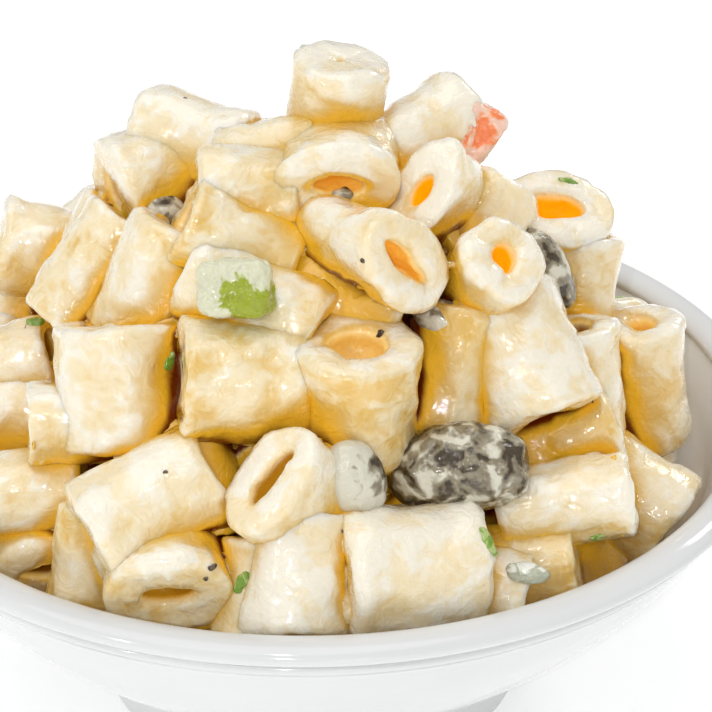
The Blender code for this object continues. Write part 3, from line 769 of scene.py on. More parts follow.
flat_place = vector_sum(tube_tree, heading, half_sizes, "MULTIPLY")
along = calculate(tube_tree, "MULTIPLY", calculate(tube_tree, "MULTIPLY", level, 0.5),
                  split(tube_tree, named(tube_tree, "outer_size"), "Z"))
place_now = vector_sum(tube_tree, add_node(tube_tree, "GeometryNodeInputPosition"),
                       named(tube_tree, "standard"), "SUBTRACT")
amounts = (split(tube_tree, flat_place, "X"), split(tube_tree, flat_place, "Y"), along)
for title, amount in zip(("side", "other", "axis"), amounts):
    place_now = vector_sum(tube_tree, place_now, scaled(tube_tree, named(tube_tree, title), amount))
copies = add_node(tube_tree, "GeometryNodeSetPosition", None, {"Geometry": copies, "Position": place_now})
part = add_node(tube_tree, "ShaderNodeCombineXYZ", None,
                {"X": share, "Y": far, "Z": split(tube_tree, named(tube_tree, "hole_size"), "Z")})
copies = stored(tube_tree, copies, "tube_part", part)
grain = vector_sum(tube_tree, named(tube_tree, "standard"), (1.0, 1.0, GRAIN_STRETCH), "MULTIPLY")
copies = stored(tube_tree, copies, "grain", vector_sum(tube_tree, grain, split(tube_tree, part, "Z")))
copies = surface_lumps(tube_tree, copies, given["Dent size"], given["Dent depth"])
coat_cloud = add_node(tube_tree, "ShaderNodeTexNoise", None,
                      {"Vector": add_node(tube_tree, "GeometryNodeInputPosition"), "Detail": 2.0,
                       "Scale": calculate(tube_tree, "DIVIDE", 1.0, given["Coat size"]), "Distortion": 0.5})
coat = ramp_between(tube_tree, coat_cloud, *COAT_EDGE)
copies = stored(tube_tree, copies, "coat", coat, "FLOAT")
coat = calculate(tube_tree, "MULTIPLY", named(tube_tree, "coat", "FLOAT"), given["Coat depth"])
copies = moved(tube_tree, copies, scaled(tube_tree, add_node(tube_tree, "GeometryNodeInputNormal"), coat))
copies = surface_lumps(tube_tree, copies, given["Lump size"], given["Lump depth"])
end_tree(tube_tree, copies, given["Material"])
print("tube tree:", len(tube_tree.nodes), "nodes")

# %% Tubes from the tree
SMALLEST_HOLE = 0.0006
# The most that a tube outside the picture is bare of dressing and painted in shade, and painted as lit
# through its hole
HIDDEN_BARENESS_AND_SHADE = 0.25
HIDDEN_BACKLIGHT = 0.5


def applied(item):
    """The mesh of an object with its modifiers applied."""
    reading = bpy.context.evaluated_depsgraph_get()
    return bpy.data.meshes.new_from_object(item.evaluated_get(reading))


def grown(name, source, tree, values):
    """Runs a tree on a mesh and gives the result as a plain mesh in an object of its own."""
    carrier = new_object(name, source)
    modifier = carrier.modifiers.new("nodes", "NODES")
    modifier.node_group = tree
    for socket in tree.interface.items_tree:
        if socket.item_type == "SOCKET" and socket.in_out == "INPUT" and socket.name in values:
            modifier[socket.identifier] = values[socket.name]
    result = applied(carrier)
    bpy.data.objects.remove(carrier)
    result.name = name
    return new_object(name, result)


def float_attribute(mesh_data, title, values):
    attribute = mesh_data.attributes.new(title, "FLOAT", "POINT")
    attribute.data.foreach_set("value", np.array(values, np.float32))


def vector_attribute(mesh_data, title, values):
    attribute = mesh_data.attributes.new(title, "FLOAT_VECTOR", "POINT")
    attribute.data.foreach_set("vector", np.array(values, np.float32).ravel())


def by_turns(count, steps, highest):
    """Values that rise from 0 to the highest in steps, again and again."""
    return [highest * (k % steps) / (steps - 1) for k in range(count)]


def tube_points(name, placed, bareness, backlit):
    """One point for each tube, with its frame, its sizes, and how it is coated, painted in shade and
    painted as lit, as attributes.
    """
    points = bpy.data.meshes.new(name)
    points.from_pydata([place for place, frame, sizes in placed], [], [])
    for column, title in enumerate(("side", "other", "axis")):
        vector_attribute(points, title, [frame.col[column] for place, frame, sizes in placed])
    outsides = []
    holes = []
    for k, (place, frame, (length, wide, flat, hole, slit)) in enumerate(placed):
        outsides.append((wide, wide * flat, length))
        holes.append((max(hole, SMALLEST_HOLE), max(hole * slit, SMALLEST_HOLE), k))
    vector_attribute(points, "outer_size", outsides)
    vector_attribute(points, "hole_size", holes)
    float_attribute(points, "bareness", bareness or by_turns(len(placed), 5, HIDDEN_BARENESS_AND_SHADE))
    float_attribute(points, "backlit", backlit or by_turns(len(placed), 3, HIDDEN_BACKLIGHT))
    return points


def make_tubes(name, placed, material, bareness=None, backlit=None, **values):
    points = tube_points(name + "_points", placed, bareness, backlit)
    item = grown(name, points, tube_tree, {**values, "Material": material})
    item.data.shade_smooth()
    return item


# %% [markdown]
# The pasta is boiled durum wheat, amber and a little see-through, under a coat of mayonnaise
# dressing that is nearly white where it is thick. So one material mixes the two by how thick the
# dressing is: bare pasta, then thin coat, then cream and white where the coat gathers, on rims
# and on what faces up; facing up also paints the top lighter, as overhead light would. Painted
# shade comes on top, by how enclosed a point is and how far it faces down: gold on flanks and
# undersides, amber in the joints with a faint painted glow, as if light came through the pasta,
# and brown in the deepest crevices. Inside the holes, painted light and shade run from dark amber
# to orange, by how much light shines through from behind, with a painted glow where it does.
# Light wanders about a millimetre inside before it comes out, which subsurface scattering gives,
# and a clear wet film lies over everything.
# How deep a point lies in a crevice is measured on the shapes themselves, in a cell below.

# %% Dressed pasta
COAT_CREAM = linear_colour("F5E4BE")
COAT_WHITE = linear_colour("F8F0DE")
THIN_COAT = linear_colour("EED294")
BARE_PASTA = linear_colour("E8BE60")
# Painted shade: gold on flanks and undersides, amber in the joints, brown in the deepest crevices
SHADE_GOLD = linear_colour("E4C070")
JOINT_PAINTED_SHADE = linear_colour("E0AC2A")
CREVICE_PAINTED_SHADE = linear_colour("7C2E00")
HOLE_CREAM = linear_colour("F4DAA0")
# Painted light and shade inside the holes: dark where no light comes through, orange where it does
HOLE_PAINTED_SHADE = linear_colour("B4720A")
HOLE_PAINTED_HALF_LIGHT = linear_colour("EEC870")
HOLE_PAINTED_BACKLIGHT = linear_colour("FFB412")
# Painted glows: an emission that stands in for light coming through the pasta, in lit holes and joints
GLOW_IN_HOLE = linear_colour("DC9600")
GLOW_IN_JOINT = linear_colour("A0801E")
NO_GLOW = linear_colour("000000")
GLOW_STRENGTH = 0.45
SCATTER_WEIGHT = 0.32
SCATTER_RADIUS = (0.0009, 0.0008, 0.0005)
PASTA_ROUGHNESS = (0.14, 0.36)
# The film's weight, roughness and index of refraction
PASTA_FILM = (1.0, 0.055, 1.48)
# The strength and the depth in metres of the finest ridges, and of the waves in the film
RIDGE_BUMP = (0.40, 0.0007)
FILM_BUMP = (0.22, 0.0005)
RIDGES_BY_FINE = 0.28
RIDGES_BY_GRAIN = 0.20
GLINTS_BY_GRAIN = 0.45
# Each pattern's size in metres, its detail and how twisted it is
BLOTCH = (0.0055, 3.0, 0.4)
STREAK = (0.0022, 4.0, 1.6)
GRAIN = (0.0011, 2.0, 0.5)
FINE = (0.0008, 2.0, 0.8)
# How thick the dressing is, and how much each pattern or measure adds to that
THICK_MIDDLE = 0.52
THICK_BY_BLOTCH = 1.6
THICK_BY_STREAK = 1.0
THICK_BY_GRAIN = 0.30
# Facing up thickens the coat and also paints the top lighter, as light from overhead would
THICK_AND_LIGHT_BY_UPWARD = 0.32
THICK_BY_RIM = 0.22
THICK_BY_COAT = 0.50
# How much each pattern or measure adds to the painted shade, which darkens crevices, joints and undersides
SHADE_BY_BLOTCH = -0.35
SHADE_BY_BARENESS = 0.22
SHADE_BY_RIM = -0.26
SHADE_TURNED_DOWN = 0.14
TURNED_DOWN_BELOW = 0.25
# From where to where each colour takes over from the one before it
THICK_STAGES = ((0.0, 0.50, THIN_COAT), (0.30, 0.85, COAT_CREAM), (0.85, 1.35, COAT_WHITE))
GOLD_STAGE = (0.04, 0.36)
AMBER_STAGE = (0.24, 0.56)
BROWN_STAGE = (0.62, 0.92)
HOLE_HALF_LIGHT_STAGE = (0.0, 0.3)
HOLE_BACKLIGHT_STAGE = (0.35, 1.0)
# Parts of a tube: a share of the way from the hole to the outside, or from the middle to an end
HOLE_SURFACE = (0.20, 0.04)
RIM_ACROSS = (0.1, 0.35)
RIM_ALONG = (0.84, 1.0)
HOLE_EDGE = (0.995, 0.92)
HOLE_INSIDE = (0.95, 0.78)


def attribute(tree, title, output="Fac"):
    return add_node(tree, "ShaderNodeAttribute", {"attribute_name": title}, None, output)


def wet_food(shader, weight, radius):
    """Light that wanders inside, the same all over the surface."""
    shader.inputs["Subsurface Weight"].default_value = weight
    shader.inputs["Subsurface Radius"].default_value = radius
    shader.inputs["Subsurface Scale"].default_value = 1.0


def wet_film(shader, weight, roughness, ior=1.5):
    """A clear wet film over the surface."""
    shader.inputs["Coat Weight"].default_value = weight
    shader.inputs["Coat Roughness"].default_value = roughness
    shader.inputs["Coat IOR"].default_value = ior


def dressed_pasta(name, with_holes):
    material, tree, shader, place = new_material(name, 0.32, 1.42)
    wet_food(shader, SCATTER_WEIGHT, SCATTER_RADIUS)
    wet_film(shader, *PASTA_FILM)
    blotch = noise(tree, place, *BLOTCH)
    streak = noise(tree, place, *STREAK)
    fine = noise(tree, place, *FINE)
    upward = attribute(tree, "upward")
    thick = add_swing(tree, THICK_MIDDLE, blotch, THICK_BY_BLOTCH)
    thick = add_swing(tree, thick, streak, THICK_BY_STREAK)
    # Facing up: a thicker coat, and a painted lighter top
    thick = add_share(tree, thick, upward, THICK_AND_LIGHT_BY_UPWARD)
    # Painted shade: darker where a point faces down, and where it lies enclosed
    turned_down = calculate(tree, "SUBTRACT", TURNED_DOWN_BELOW, upward)
    turned_down = calculate(tree, "MAXIMUM", turned_down, 0.0)
    shade = add_share(tree, attribute(tree, "crevice"), turned_down, SHADE_TURNED_DOWN)
    shade = add_swing(tree, shade, blotch, SHADE_BY_BLOTCH)
    ridges = add_share(tree, streak, fine, RIDGES_BY_FINE)
    glints = streak
    if with_holes:
        part = attribute(tree, "tube_part", "Vector")
        share = split(tree, part, "X")
        far = split(tree, part, "Y")
        bareness = attribute(tree, "bareness")
        grain = noise(tree, attribute(tree, "grain", "Vector"), *GRAIN)
        rim = calculate(tree, "MULTIPLY", ramp_between(tree, far, *RIM_ALONG),
                        ramp_between(tree, share, *RIM_ACROSS))
        thick = add_share(tree, thick, rim, THICK_BY_RIM)
        thick = add_share(tree, thick, attribute(tree, "coat"), THICK_BY_COAT)
        # Barer tubes show more amber pasta, and also get more painted shade
        thick = calculate(tree, "SUBTRACT", thick, bareness)
        thick = add_swing(tree, thick, grain, THICK_BY_GRAIN)
        shade = add_share(tree, shade, bareness, SHADE_BY_BARENESS)
        shade = add_share(tree, shade, rim, SHADE_BY_RIM)
        ridges = add_share(tree, ridges, grain, RIDGES_BY_GRAIN)
        glints = add_share(tree, glints, grain, GLINTS_BY_GRAIN)
    colour = BARE_PASTA
    for low, high, coat in THICK_STAGES:
        colour = blend_colours(tree, ramp_between(tree, thick, low, high), colour, coat)
    amber = ramp_between(tree, shade, *AMBER_STAGE)
    brown = ramp_between(tree, shade, *BROWN_STAGE)
    # Paint the shade: gold, then amber in the joints, then brown in the deepest crevices
    colour = blend_colours(tree, ramp_between(tree, shade, *GOLD_STAGE), colour, SHADE_GOLD)
    colour = blend_colours(tree, amber, colour, JOINT_PAINTED_SHADE)
    colour = blend_colours(tree, brown, colour, CREVICE_PAINTED_SHADE)
    # A painted glow in the joints, as if light came through the pasta
    glow = blend_colours(tree, amber, NO_GLOW, GLOW_IN_JOINT)
    glow = blend_colours(tree, brown, glow, NO_GLOW)
    if with_holes:
        # Paint light and shade inside the holes, by how much light the tube lets through from behind
        hole = ramp_between(tree, share, *HOLE_SURFACE)
        edge = calculate(tree, "MULTIPLY", hole, ramp_between(tree, far, *HOLE_EDGE))
        inside = calculate(tree, "MULTIPLY", hole, ramp_between(tree, far, *HOLE_INSIDE))
        backlit = attribute(tree, "backlit")
        half_light_share = ramp_between(tree, backlit, *HOLE_HALF_LIGHT_STAGE)
        backlight_share = ramp_between(tree, backlit, *HOLE_BACKLIGHT_STAGE)
        painted_hole_light = blend_colours(tree, half_light_share, HOLE_PAINTED_SHADE, HOLE_PAINTED_HALF_LIGHT)
        painted_hole_light = blend_colours(tree, backlight_share, painted_hole_light, HOLE_PAINTED_BACKLIGHT)
        colour = blend_colours(tree, edge, colour, HOLE_CREAM)
        colour = blend_colours(tree, inside, colour, painted_hole_light)
        glow = blend_colours(tree, calculate(tree, "MULTIPLY", inside, backlit), glow, GLOW_IN_HOLE)
    tree.links.new(colour, shader.inputs["Base Color"])
    tree.links.new(glow, shader.inputs["Emission Color"])
    shader.inputs["Emission Strength"].default_value = GLOW_STRENGTH
    tree.links.new(ramp_between(tree, streak, 0.3, 0.7, *PASTA_ROUGHNESS), shader.inputs["Roughness"])
    bump_on(tree, shader, ridges, *RIDGE_BUMP)
    bump_on(tree, shader, glints, *FILM_BUMP, target="Coat Normal")
    return material


pasta_finish = dressed_pasta("boiled_durum_pasta_in_mayonnaise", True)
dressing_finish = dressed_pasta("mayonnaise_dressing", False)

# %% The three layers of tubes
SLIM = {"Around": 30, "Section step": 0.0013, "Coat depth": 0.0}
# How bare of dressing a tube is, so that more of the amber pasta shows, and how much more painted shade it
# gets. Below 0 it is thickly coated.
TUBE_BARENESS_AND_SHADE = {"middle_block": 0.26, "middle_deep": 0.34, "middle_shaded": 0.40, "upper_left_low": 0.34,
              "right_low": 0.28, "right_shaded": 0.40, "right_under": 0.25, "left_upright": 0.40,
              "left_edge_slit": 0.35, "middle_ring": 0.15, "front_left_slit": 0.12, "crown_behind": 0.40,
              "right_upright": 0.12, "left_slanted": 0.10, "front_block": -0.30, "front_upright": -0.25,
              "crown_right": -0.25, "slanted_slit": -0.25, "crown": -0.10, "left_big": -0.15,
              "right_slanted": -0.10, "front_ring": -0.10, "upper_left_top": -0.10}
# How much light shines through the pasta into a tube's hole, painted into its colour and glow
BACKLIT_TUBES = {"right_ring": 1.0, "round_ring": 1.0, "slanted_slit": 1.0, "crown_ring": 0.45,
                 "middle_slit": 0.45, "right_upright": 0.35, "middle_ring": 0.30}
front_bareness_and_shade = [TUBE_BARENESS_AND_SHADE.get(item.name, 0.0) for item in FRONT_TUBES]
front_backlit = [BACKLIT_TUBES.get(item.name, 0.0) for item in FRONT_TUBES]
pasta_front = make_tubes("pasta_front", front_places, pasta_finish, front_bareness_and_shade, front_backlit)
pasta_back = make_tubes("pasta_back", back_places, pasta_finish)
pasta_under = make_tubes("pasta_under", deep_places, pasta_finish, **SLIM)
for item in (pasta_front, pasta_back, pasta_under):
    print(item.name, triangle_count(item), "triangles")


# %% [markdown]
# Dressing gathers where tubes touch and lines the gaps between them. A voxel remesh of all the
# tubes and of a core joins them into one skin, and smoothing that skin pulls it in on the round
# sides and fills it out in the corners. Laid just under the tubes, it shows only in the corners,
# as a soft bead of dressing. Its tubes have wider holes, so that it doesn't close the real ones.

# %% The core and the dressing
CORE_COVER = 0.0100
CORE_SHOULDER_DROP = 0.0120
CORE_DROPS = (0.0270, 0.0200, CORE_SHOULDER_DROP)
CORE_FLOOR_MARGIN = 0.0029
CORE_SEGMENTS = 96
SHELL = {"Around": 24, "Section step": 0.0013, "Hole growth": 0.0018, "Coat depth": 0.0}
SKIN_VOXEL = 0.00080
SKIN_SMOOTHING = 3
SKIN_DROP = 0.00085


def core_profile():
    """The heap's core: the bowl's inside up to its shoulder, then a dome under the tubes."""
    floor = RIM_LINE - FLOOR_DROP + GAP
    points = [(0.0, floor), (inner_radius(FLOOR_DROP) - CORE_FLOOR_MARGIN, floor)]
    for drop in CORE_DROPS:
        points.append((inner_radius(drop) - 4 * GAP, RIM_LINE - drop))
    inset = TUBE_DIAMETER / 2 + CORE_COVER
    reach = HEAP_RADIUS - inset
    for share in np.linspace(1.0, 0.0, 12):
        points.append((reach * share, RIM_LINE + heap_height(reach * share, 0.0, inset)))
    return points


def joined_mesh(name, meshes):
    work = bmesh.new()
    for mesh_data in meshes:
        work.from_mesh(mesh_data)
    return mesh_from(work, name)


core = turned_mesh("core", core_profile(), CORE_SEGMENTS)
for corner in core.vertices:
    fall = BACK_FALL * max(corner.co.y, 0.0) / HEAP_RADIUS
    corner.co.z -= max(corner.co.z - RIM_LINE, 0.0) * fall
shells = [make_tubes("shell", placed, dressing_finish, **SHELL)
          for placed in (front_places, back_places, deep_places)]
skin_source = joined_mesh("dressing", [shell.data for shell in shells] + [core])
for shell in shells:
    bpy.data.objects.remove(shell)
dressing = new_object("dressing", skin_source, dressing_finish)
remesh = dressing.modifiers.new("skin", "REMESH")
remesh.mode = "VOXEL"
remesh.voxel_size = SKIN_VOXEL
smooth = dressing.modifiers.new("smooth", "SMOOTH")
smooth.factor = 0.5
smooth.iterations = SKIN_SMOOTHING
dressing_skin = applied(dressing)
dressing.modifiers.clear()
dressing.data = dressing_skin
print("dressing", len(dressing.data.polygons), "faces")


# %% [markdown]
# How enclosed is each point? A grid of small cells is filled wherever a tube or the core is, and
# then blurred, as a pinch of salt spreads in water. Just off an open surface the blurred grid is
# nearly empty, and in a crevice it is nearly full. That number, and how far each point faces
# up, is stored on the meshes, and the materials paint shade from them.

# %% How deep a point lies
CELL = 0.0010
TUBE_SPAN = 0.012
GRID_LOW = np.array((-0.062, -0.062, 0.0))
GRID_SIZE = (124, 124, 100)
NEAR_BLUR = 0.0016
FAR_BLUR = 0.0045
# The bowl's inside in the grid is a cone, filled from a drop below the rim line
FILL_RADIUS = 0.050
FILL_SLOPE = 0.5
FILL_DROP = 0.010
# How far off the surface each blurred grid is read, its weight, and what an open surface reads
NEAR_READING = 0.0016
FAR_READING = 0.0040
NEAR_WEIGHT = 0.75
FAR_WEIGHT = 1.15
OPEN_LEVEL = 0.32
MOST_ENCLOSED = 1.2


def filled_grid(placed):
    """A grid that is 1 in every cell whose middle is inside a tube, or in the core."""
    grid = np.zeros(GRID_SIZE, np.float32)
    cells = np.indices(GRID_SIZE).reshape(3, -1).T
    centres = (GRID_LOW + (cells + 0.5) * CELL).astype(np.float32)
    drop = RIM_LINE - centres[:, 2]
    radius = np.hypot(centres[:, 0], centres[:, 1])
    inset = TUBE_DIAMETER / 2 + CORE_COVER
    dome = (HEAP_HEIGHT - inset) * (1.0 - np.clip(radius / (HEAP_RADIUS - inset), 0, 2) ** HEAP_FULLNESS)
    dome *= 1.0 - BACK_FALL * np.maximum(centres[:, 1], 0.0) / HEAP_RADIUS
    in_bowl = (drop > FILL_DROP) & (drop < FLOOR_DROP) & (radius < FILL_RADIUS - FILL_SLOPE * drop)
    under_dome = (-drop < dome) & (drop < CORE_SHOULDER_DROP) & (radius < HEAP_RADIUS - inset)
    grid.reshape(-1)[in_bowl | under_dome] = 1.0
    span = int(TUBE_SPAN / CELL)
    for place, frame, (length, wide, flat_share, hole, slit) in placed:
        middle = ((np.array(place) - GRID_LOW) / CELL).astype(int)
        low = np.maximum(middle - span, 0)
        high = np.minimum(middle + span + 1, GRID_SIZE)
        block = np.indices(high - low).reshape(3, -1).T + low
        local = (GRID_LOW + (block + 0.5) * CELL - np.array(place)) @ np.array(frame)
        oval = (local[:, 0] / (wide / 2)) ** 2 + (local[:, 1] / (wide * flat_share / 2)) ** 2
        inside = block[(oval < 1.0) & (np.abs(local[:, 2]) < length / 2)]
        grid[inside[:, 0], inside[:, 1], inside[:, 2]] = 1.0
    return grid


def blurred(grid, width):
    """The grid with each cell spread as a bell curve of that width in metres."""
    spectrum = np.fft.rfftn(grid)
    for axis, count in enumerate(GRID_SIZE):
        steps = np.fft.rfftfreq(count) if axis == 2 else np.fft.fftfreq(count)
        shape = [1, 1, 1]
        shape[axis] = len(steps)
        spectrum *= np.exp(-2.0 * (math.pi * steps * width / CELL) ** 2).reshape(shape)
    return np.fft.irfftn(spectrum, GRID_SIZE)


def read_grid(grid, points):
    """The grid's value at any points, mixed from the eight cells around each."""
    steps = np.clip((points - GRID_LOW) / CELL - 0.5, 0, np.array(GRID_SIZE) - 1.001)
    base = steps.astype(int)
    part = steps - base
    value = np.zeros(len(points))
    for corner in np.ndindex(2, 2, 2):
        weight = np.prod(np.where(corner, part, 1.0 - part), axis=1)
        cell = base + corner
        value += weight * grid[cell[:, 0], cell[:, 1], cell[:, 2]]
    return value


filled = filled_grid(front_places + back_places + deep_places)
near_grid = blurred(filled, NEAR_BLUR)
far_grid = blurred(filled, FAR_BLUR)


def measure_depth(item):
    """Stores on a mesh how enclosed each point is, and how far it faces up."""
    places = np.empty((len(item.data.vertices), 3), np.float32)
    item.data.vertices.foreach_get("co", places.ravel())
    normals = np.empty_like(places)
    item.data.vertex_normals.foreach_get("vector", normals.ravel())
    near = read_grid(near_grid, places + normals * NEAR_READING)
    far = read_grid(far_grid, places + normals * FAR_READING)
    enclosed = np.clip(NEAR_WEIGHT * near + FAR_WEIGHT * far - OPEN_LEVEL, 0.0, MOST_ENCLOSED)
    float_attribute(item.data, "crevice", enclosed)
    float_attribute(item.data, "upward", normals[:, 2])
    print(item.name, "crevice: middle", round(float(np.median(enclosed)), 2),
          "high", round(float(np.percentile(enclosed, 95)), 2))
    return places, normals


for item in (pasta_front, pasta_back, pasta_under):
    measure_depth(item)
places, normals = measure_depth(dressing)
dressing.data.vertices.foreach_set("co", (places - normals * SKIN_DROP).ravel())
dressing.data.shade_smooth()

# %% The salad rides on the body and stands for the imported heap
for item in (pasta_front, pasta_back, pasta_under, dressing):
    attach(item, BODY)
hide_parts("pasta_heap")


# %% [markdown]
# The larger toppings lie between the tubes. A ripe black olive is soft, with a wrinkled skin that
# the dressing half covers: it fills the wrinkles and leaves the ridges dark. Each olive is an oval
# that is bent a little, and ridged by a second small Geometry Nodes tree. The celery and the red
# pepper are chopped blocks with well rounded edges, with dressing over most of their faces.

# %% The toppings' places and the tree that gives them their skin
# One topping. px, py, turn, lean, sink: as for a tube. size: its length, width and thickness in
# millimetres. wrinkle: the depth of its skin's wrinkles in metres. bare: how bare of dressing a
# point is, by where it lies across, through and along the piece, each from -0.5 to 0.5.
Topping = namedtuple("Topping", "name shape px py turn lean sink size wrinkle bare")

TOPPINGS = (
    Topping("olive_long", "blunt_oval", 462, 467, 4, 5, 1.0, (16.5, 9.8, 9.0), 0.00060,
            lambda up, deep, along: 1.5 * along ** 2 - 0.10 * along - 0.06),
    Topping("olive_cut", "oval", 353, 480, 108, 20, 0.5, (9.0, 7.0, 5.0), 0.00020,
            lambda up, deep, along: 0.5 * along - 2.2 * up - 1.0),
    Topping("olive_right", "oval", 546, 270, 118, 10, -0.8, (10.0, 5.2, 5.2), 0.00045,
            lambda up, deep, along: -0.10 + 0.5 * abs(along) - 0.35 * along),
    Topping("olive_left", "oval", 162, 216, -50, 10, 3.8, (8.0, 5.6, 5.6), 0.00040,
            lambda up, deep, along: 0.8 * along - 0.15),
    Topping("olive_shaded", "oval", 446, 320, -22, 5, 3.2, (7.4, 4.2, 4.2), 0.00020,
            lambda up, deep, along: -0.25),
    Topping("celery_chunk", "block", 235, 288, 0, 10, -4.2, (8.0, 6.2, 4.4), 0.00080,
            lambda up, deep, along: 4.0 * min(along + 0.12, 0.12 - up)),
    Topping("red_pepper_piece", "wedge", 473, 139, 62, 10, -2.2, (8.2, 4.2, 3.2), 0.00075,
            lambda up, deep, along: 0.55 - 1.6 * math.hypot(up, along - 0.12)),
)
# The higher its squareness, the more a round shape fills the block around it
OVAL_SQUARENESS = 2.0
BLOCK_SQUARENESS = 4.5
BEND = 0.17
BLUNT_FROM = 0.40
BLUNT_SHARE = 0.3
WEDGE_WIDTH = 1.10
WEDGE_SPREAD = 0.5

skin_tree, given = new_tree("wrinkled_skin", (
    ("Wrinkle size", "Float", 0.0022), ("Wrinkle depth", "Float", 0.0004), ("Material", "Material", None)))
skin = surface_lumps(skin_tree, given["Geometry"], given["Wrinkle size"], given["Wrinkle depth"], 3.0)
end_tree(skin_tree, skin, given["Material"])


def topping_mesh(item):
    """A round or blocky piece, bent a little, where the line of sight meets the heap."""
    along, across, deep = (size / 1000 for size in item.size)
    squareness = OVAL_SQUARENESS if "oval" in item.shape else BLOCK_SQUARENESS
    work = bmesh.new()
    bare = work.verts.layers.float.new("bare")
    bmesh.ops.create_icosphere(work, subdivisions=6, radius=0.5)
    for corner in work.verts:
        spread = sum(abs(2.0 * value) ** squareness for value in corner.co) ** (1.0 / squareness)
        corner.co /= spread
        corner[bare] = item.bare(*corner.co)
        if item.shape == "blunt_oval" and corner.co.z > BLUNT_FROM:
            corner.co.z = BLUNT_FROM + BLUNT_SHARE * (corner.co.z - BLUNT_FROM)
        corner.co.x -= BEND * corner.co.z ** 2
        if item.shape == "wedge":
            corner.co.x *= WEDGE_WIDTH + WEDGE_SPREAD * corner.co.z
        corner.co = Vector((corner.co.x * across, corner.co.y * deep, corner.co.z * along))
    bmesh.ops.recalc_face_normals(work, faces=work.faces[:])
    place = on_heap(item.px, item.py, min(item.size[1:]) / 2000)
    place += sight_direction(item.px, item.py) * (item.sink / 1000)
    work.transform(Matrix.Translation(place) @ picture_frame(item.turn, item.lean).to_4x4())
    return mesh_from(work, item.name)


# %% Olive, celery, pepper, herb and onion under dressing
# One wet food. bare, shaded: the colours of its own flesh or skin. thin, coat: its colours under
# a thin and a thick coat of dressing. patch: the size of the coat's patches in metres. soft,
# swirl: how soft and how twisted their edges are. reach: how far red, green and blue light
# wander inside it in metres, or nothing. slot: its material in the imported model.
Food = namedtuple("Food", "material bare shaded thin coat patch roughness slot soft swirl reach",
                  defaults=(0.09, 1.2, None))

FOODS = {
    "olive": Food("ripe_olive_skin_in_dressing", bare="241A0F", shaded="57482F", thin="8E846C",
                  coat="D9D5C3", patch=0.0023, roughness=0.26, slot="black_olive", soft=0.20, swirl=0.5),
    "celery": Food("chopped_celery_in_dressing", bare="8F9C08", shaded="A5B226", thin="C6CC98",
                   coat="D8D8BC", patch=0.0024, roughness=0.24, slot="celery",
                   reach=(0.0010, 0.0012, 0.0004)),
    "red": Food("chopped_red_pepper_in_dressing", bare="F4763A", shaded="F89A62", thin="F6AE84",
                coat="F4CDB9", patch=0.0026, roughness=0.26, slot="red_pepper",
                reach=(0.0016, 0.0008, 0.0005)),
    "herb": Food("chopped_herb", bare="5E8E1E", shaded="86A83A", thin="8CAA44", coat="AFC278",
                 patch=0.0012, roughness=0.35, slot="celery"),
    "onion": Food("chopped_onion", bare="A9AD96", shaded="CBCEBB", thin="E4E6D8", coat="F4F4EA",
                  patch=0.0016, roughness=0.22, slot="dressed_pasta", reach=(0.0015, 0.0012, 0.0008)),
    "pepper": Food("ground_black_pepper", bare="1A100A", shaded="34241A", thin="4A3A2C", coat="6B5A46",
                   patch=0.0006, roughness=0.5, slot="black_olive"),
}
FOOD_SCATTER = 0.3
FOOD_FILM = (0.5, 0.10)
# The small patches' size is a share of the large ones'
SMALL_PATCH = 0.25
COVER_BY_PATCHES = 1.7
COVER_BY_SMALL = 0.25
COVER_BY_BARE = -0.5
COAT_STARTS = 0.51
COAT_BUMP = (0.45, 0.0006)


def half_coated(food):
    """A wet food under dressing: bare where its attribute bare is high, then thinly coated, then white."""
    bare, shaded, thin, coat = map(linear_colour, (food.bare, food.shaded, food.thin, food.coat))
    material, tree, shader, place = new_material(food.material, food.roughness, 1.45)
    wet_film(shader, *FOOD_FILM)
    if food.reach:
        wet_food(shader, FOOD_SCATTER, food.reach)
    patches = noise(tree, place, food.patch, 2.0, food.swirl)
    small = noise(tree, place, food.patch * SMALL_PATCH, 2.0, 0.5)
    cover = add_swing(tree, 0.5, patches, COVER_BY_PATCHES)
    cover = add_swing(tree, cover, small, COVER_BY_SMALL)
    cover = add_share(tree, cover, attribute(tree, "bare"), COVER_BY_BARE)
    thinly = ramp_between(tree, cover, COAT_STARTS - food.soft, COAT_STARTS)
    fully = ramp_between(tree, cover, COAT_STARTS, COAT_STARTS + food.soft)
    colour = blend_colours(tree, small, bare, shaded)
    colour = blend_colours(tree, thinly, colour, thin)
    colour = blend_colours(tree, fully, colour, coat)
    tree.links.new(colour, shader.inputs["Base Color"])
    bump_on(tree, shader, cover, *COAT_BUMP)
    return material


food_finishes = {kind: half_coated(food) for kind, food in FOODS.items()}

# %% The toppings
for item in TOPPINGS:
    kind = item.name.split("_")[0]
    values = {"Wrinkle depth": item.wrinkle, "Material": food_finishes[kind]}
    topping = grown(item.name + "_dressed", topping_mesh(item), skin_tree, values)
    topping.data.shade_smooth()
    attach(topping, BODY)
    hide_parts(item.name)
print(len(TOPPINGS), "toppings")


# %% [markdown]
# Small things lie on top of everything: flecks of chopped herb, a bit of onion, ground black
# pepper and a crumb of olive. Each fleck that the picture shows is laid where the line of sight
# through its pixel first meets the salad, so that it rests on what carries it from every side.

# %% Flecks that the picture shows
# One fleck. px, py: its pixel. turn: its turn in the picture. long, wide, thick: millimetres.
Fleck = namedtuple("Fleck", "kind px py turn long wide thick")

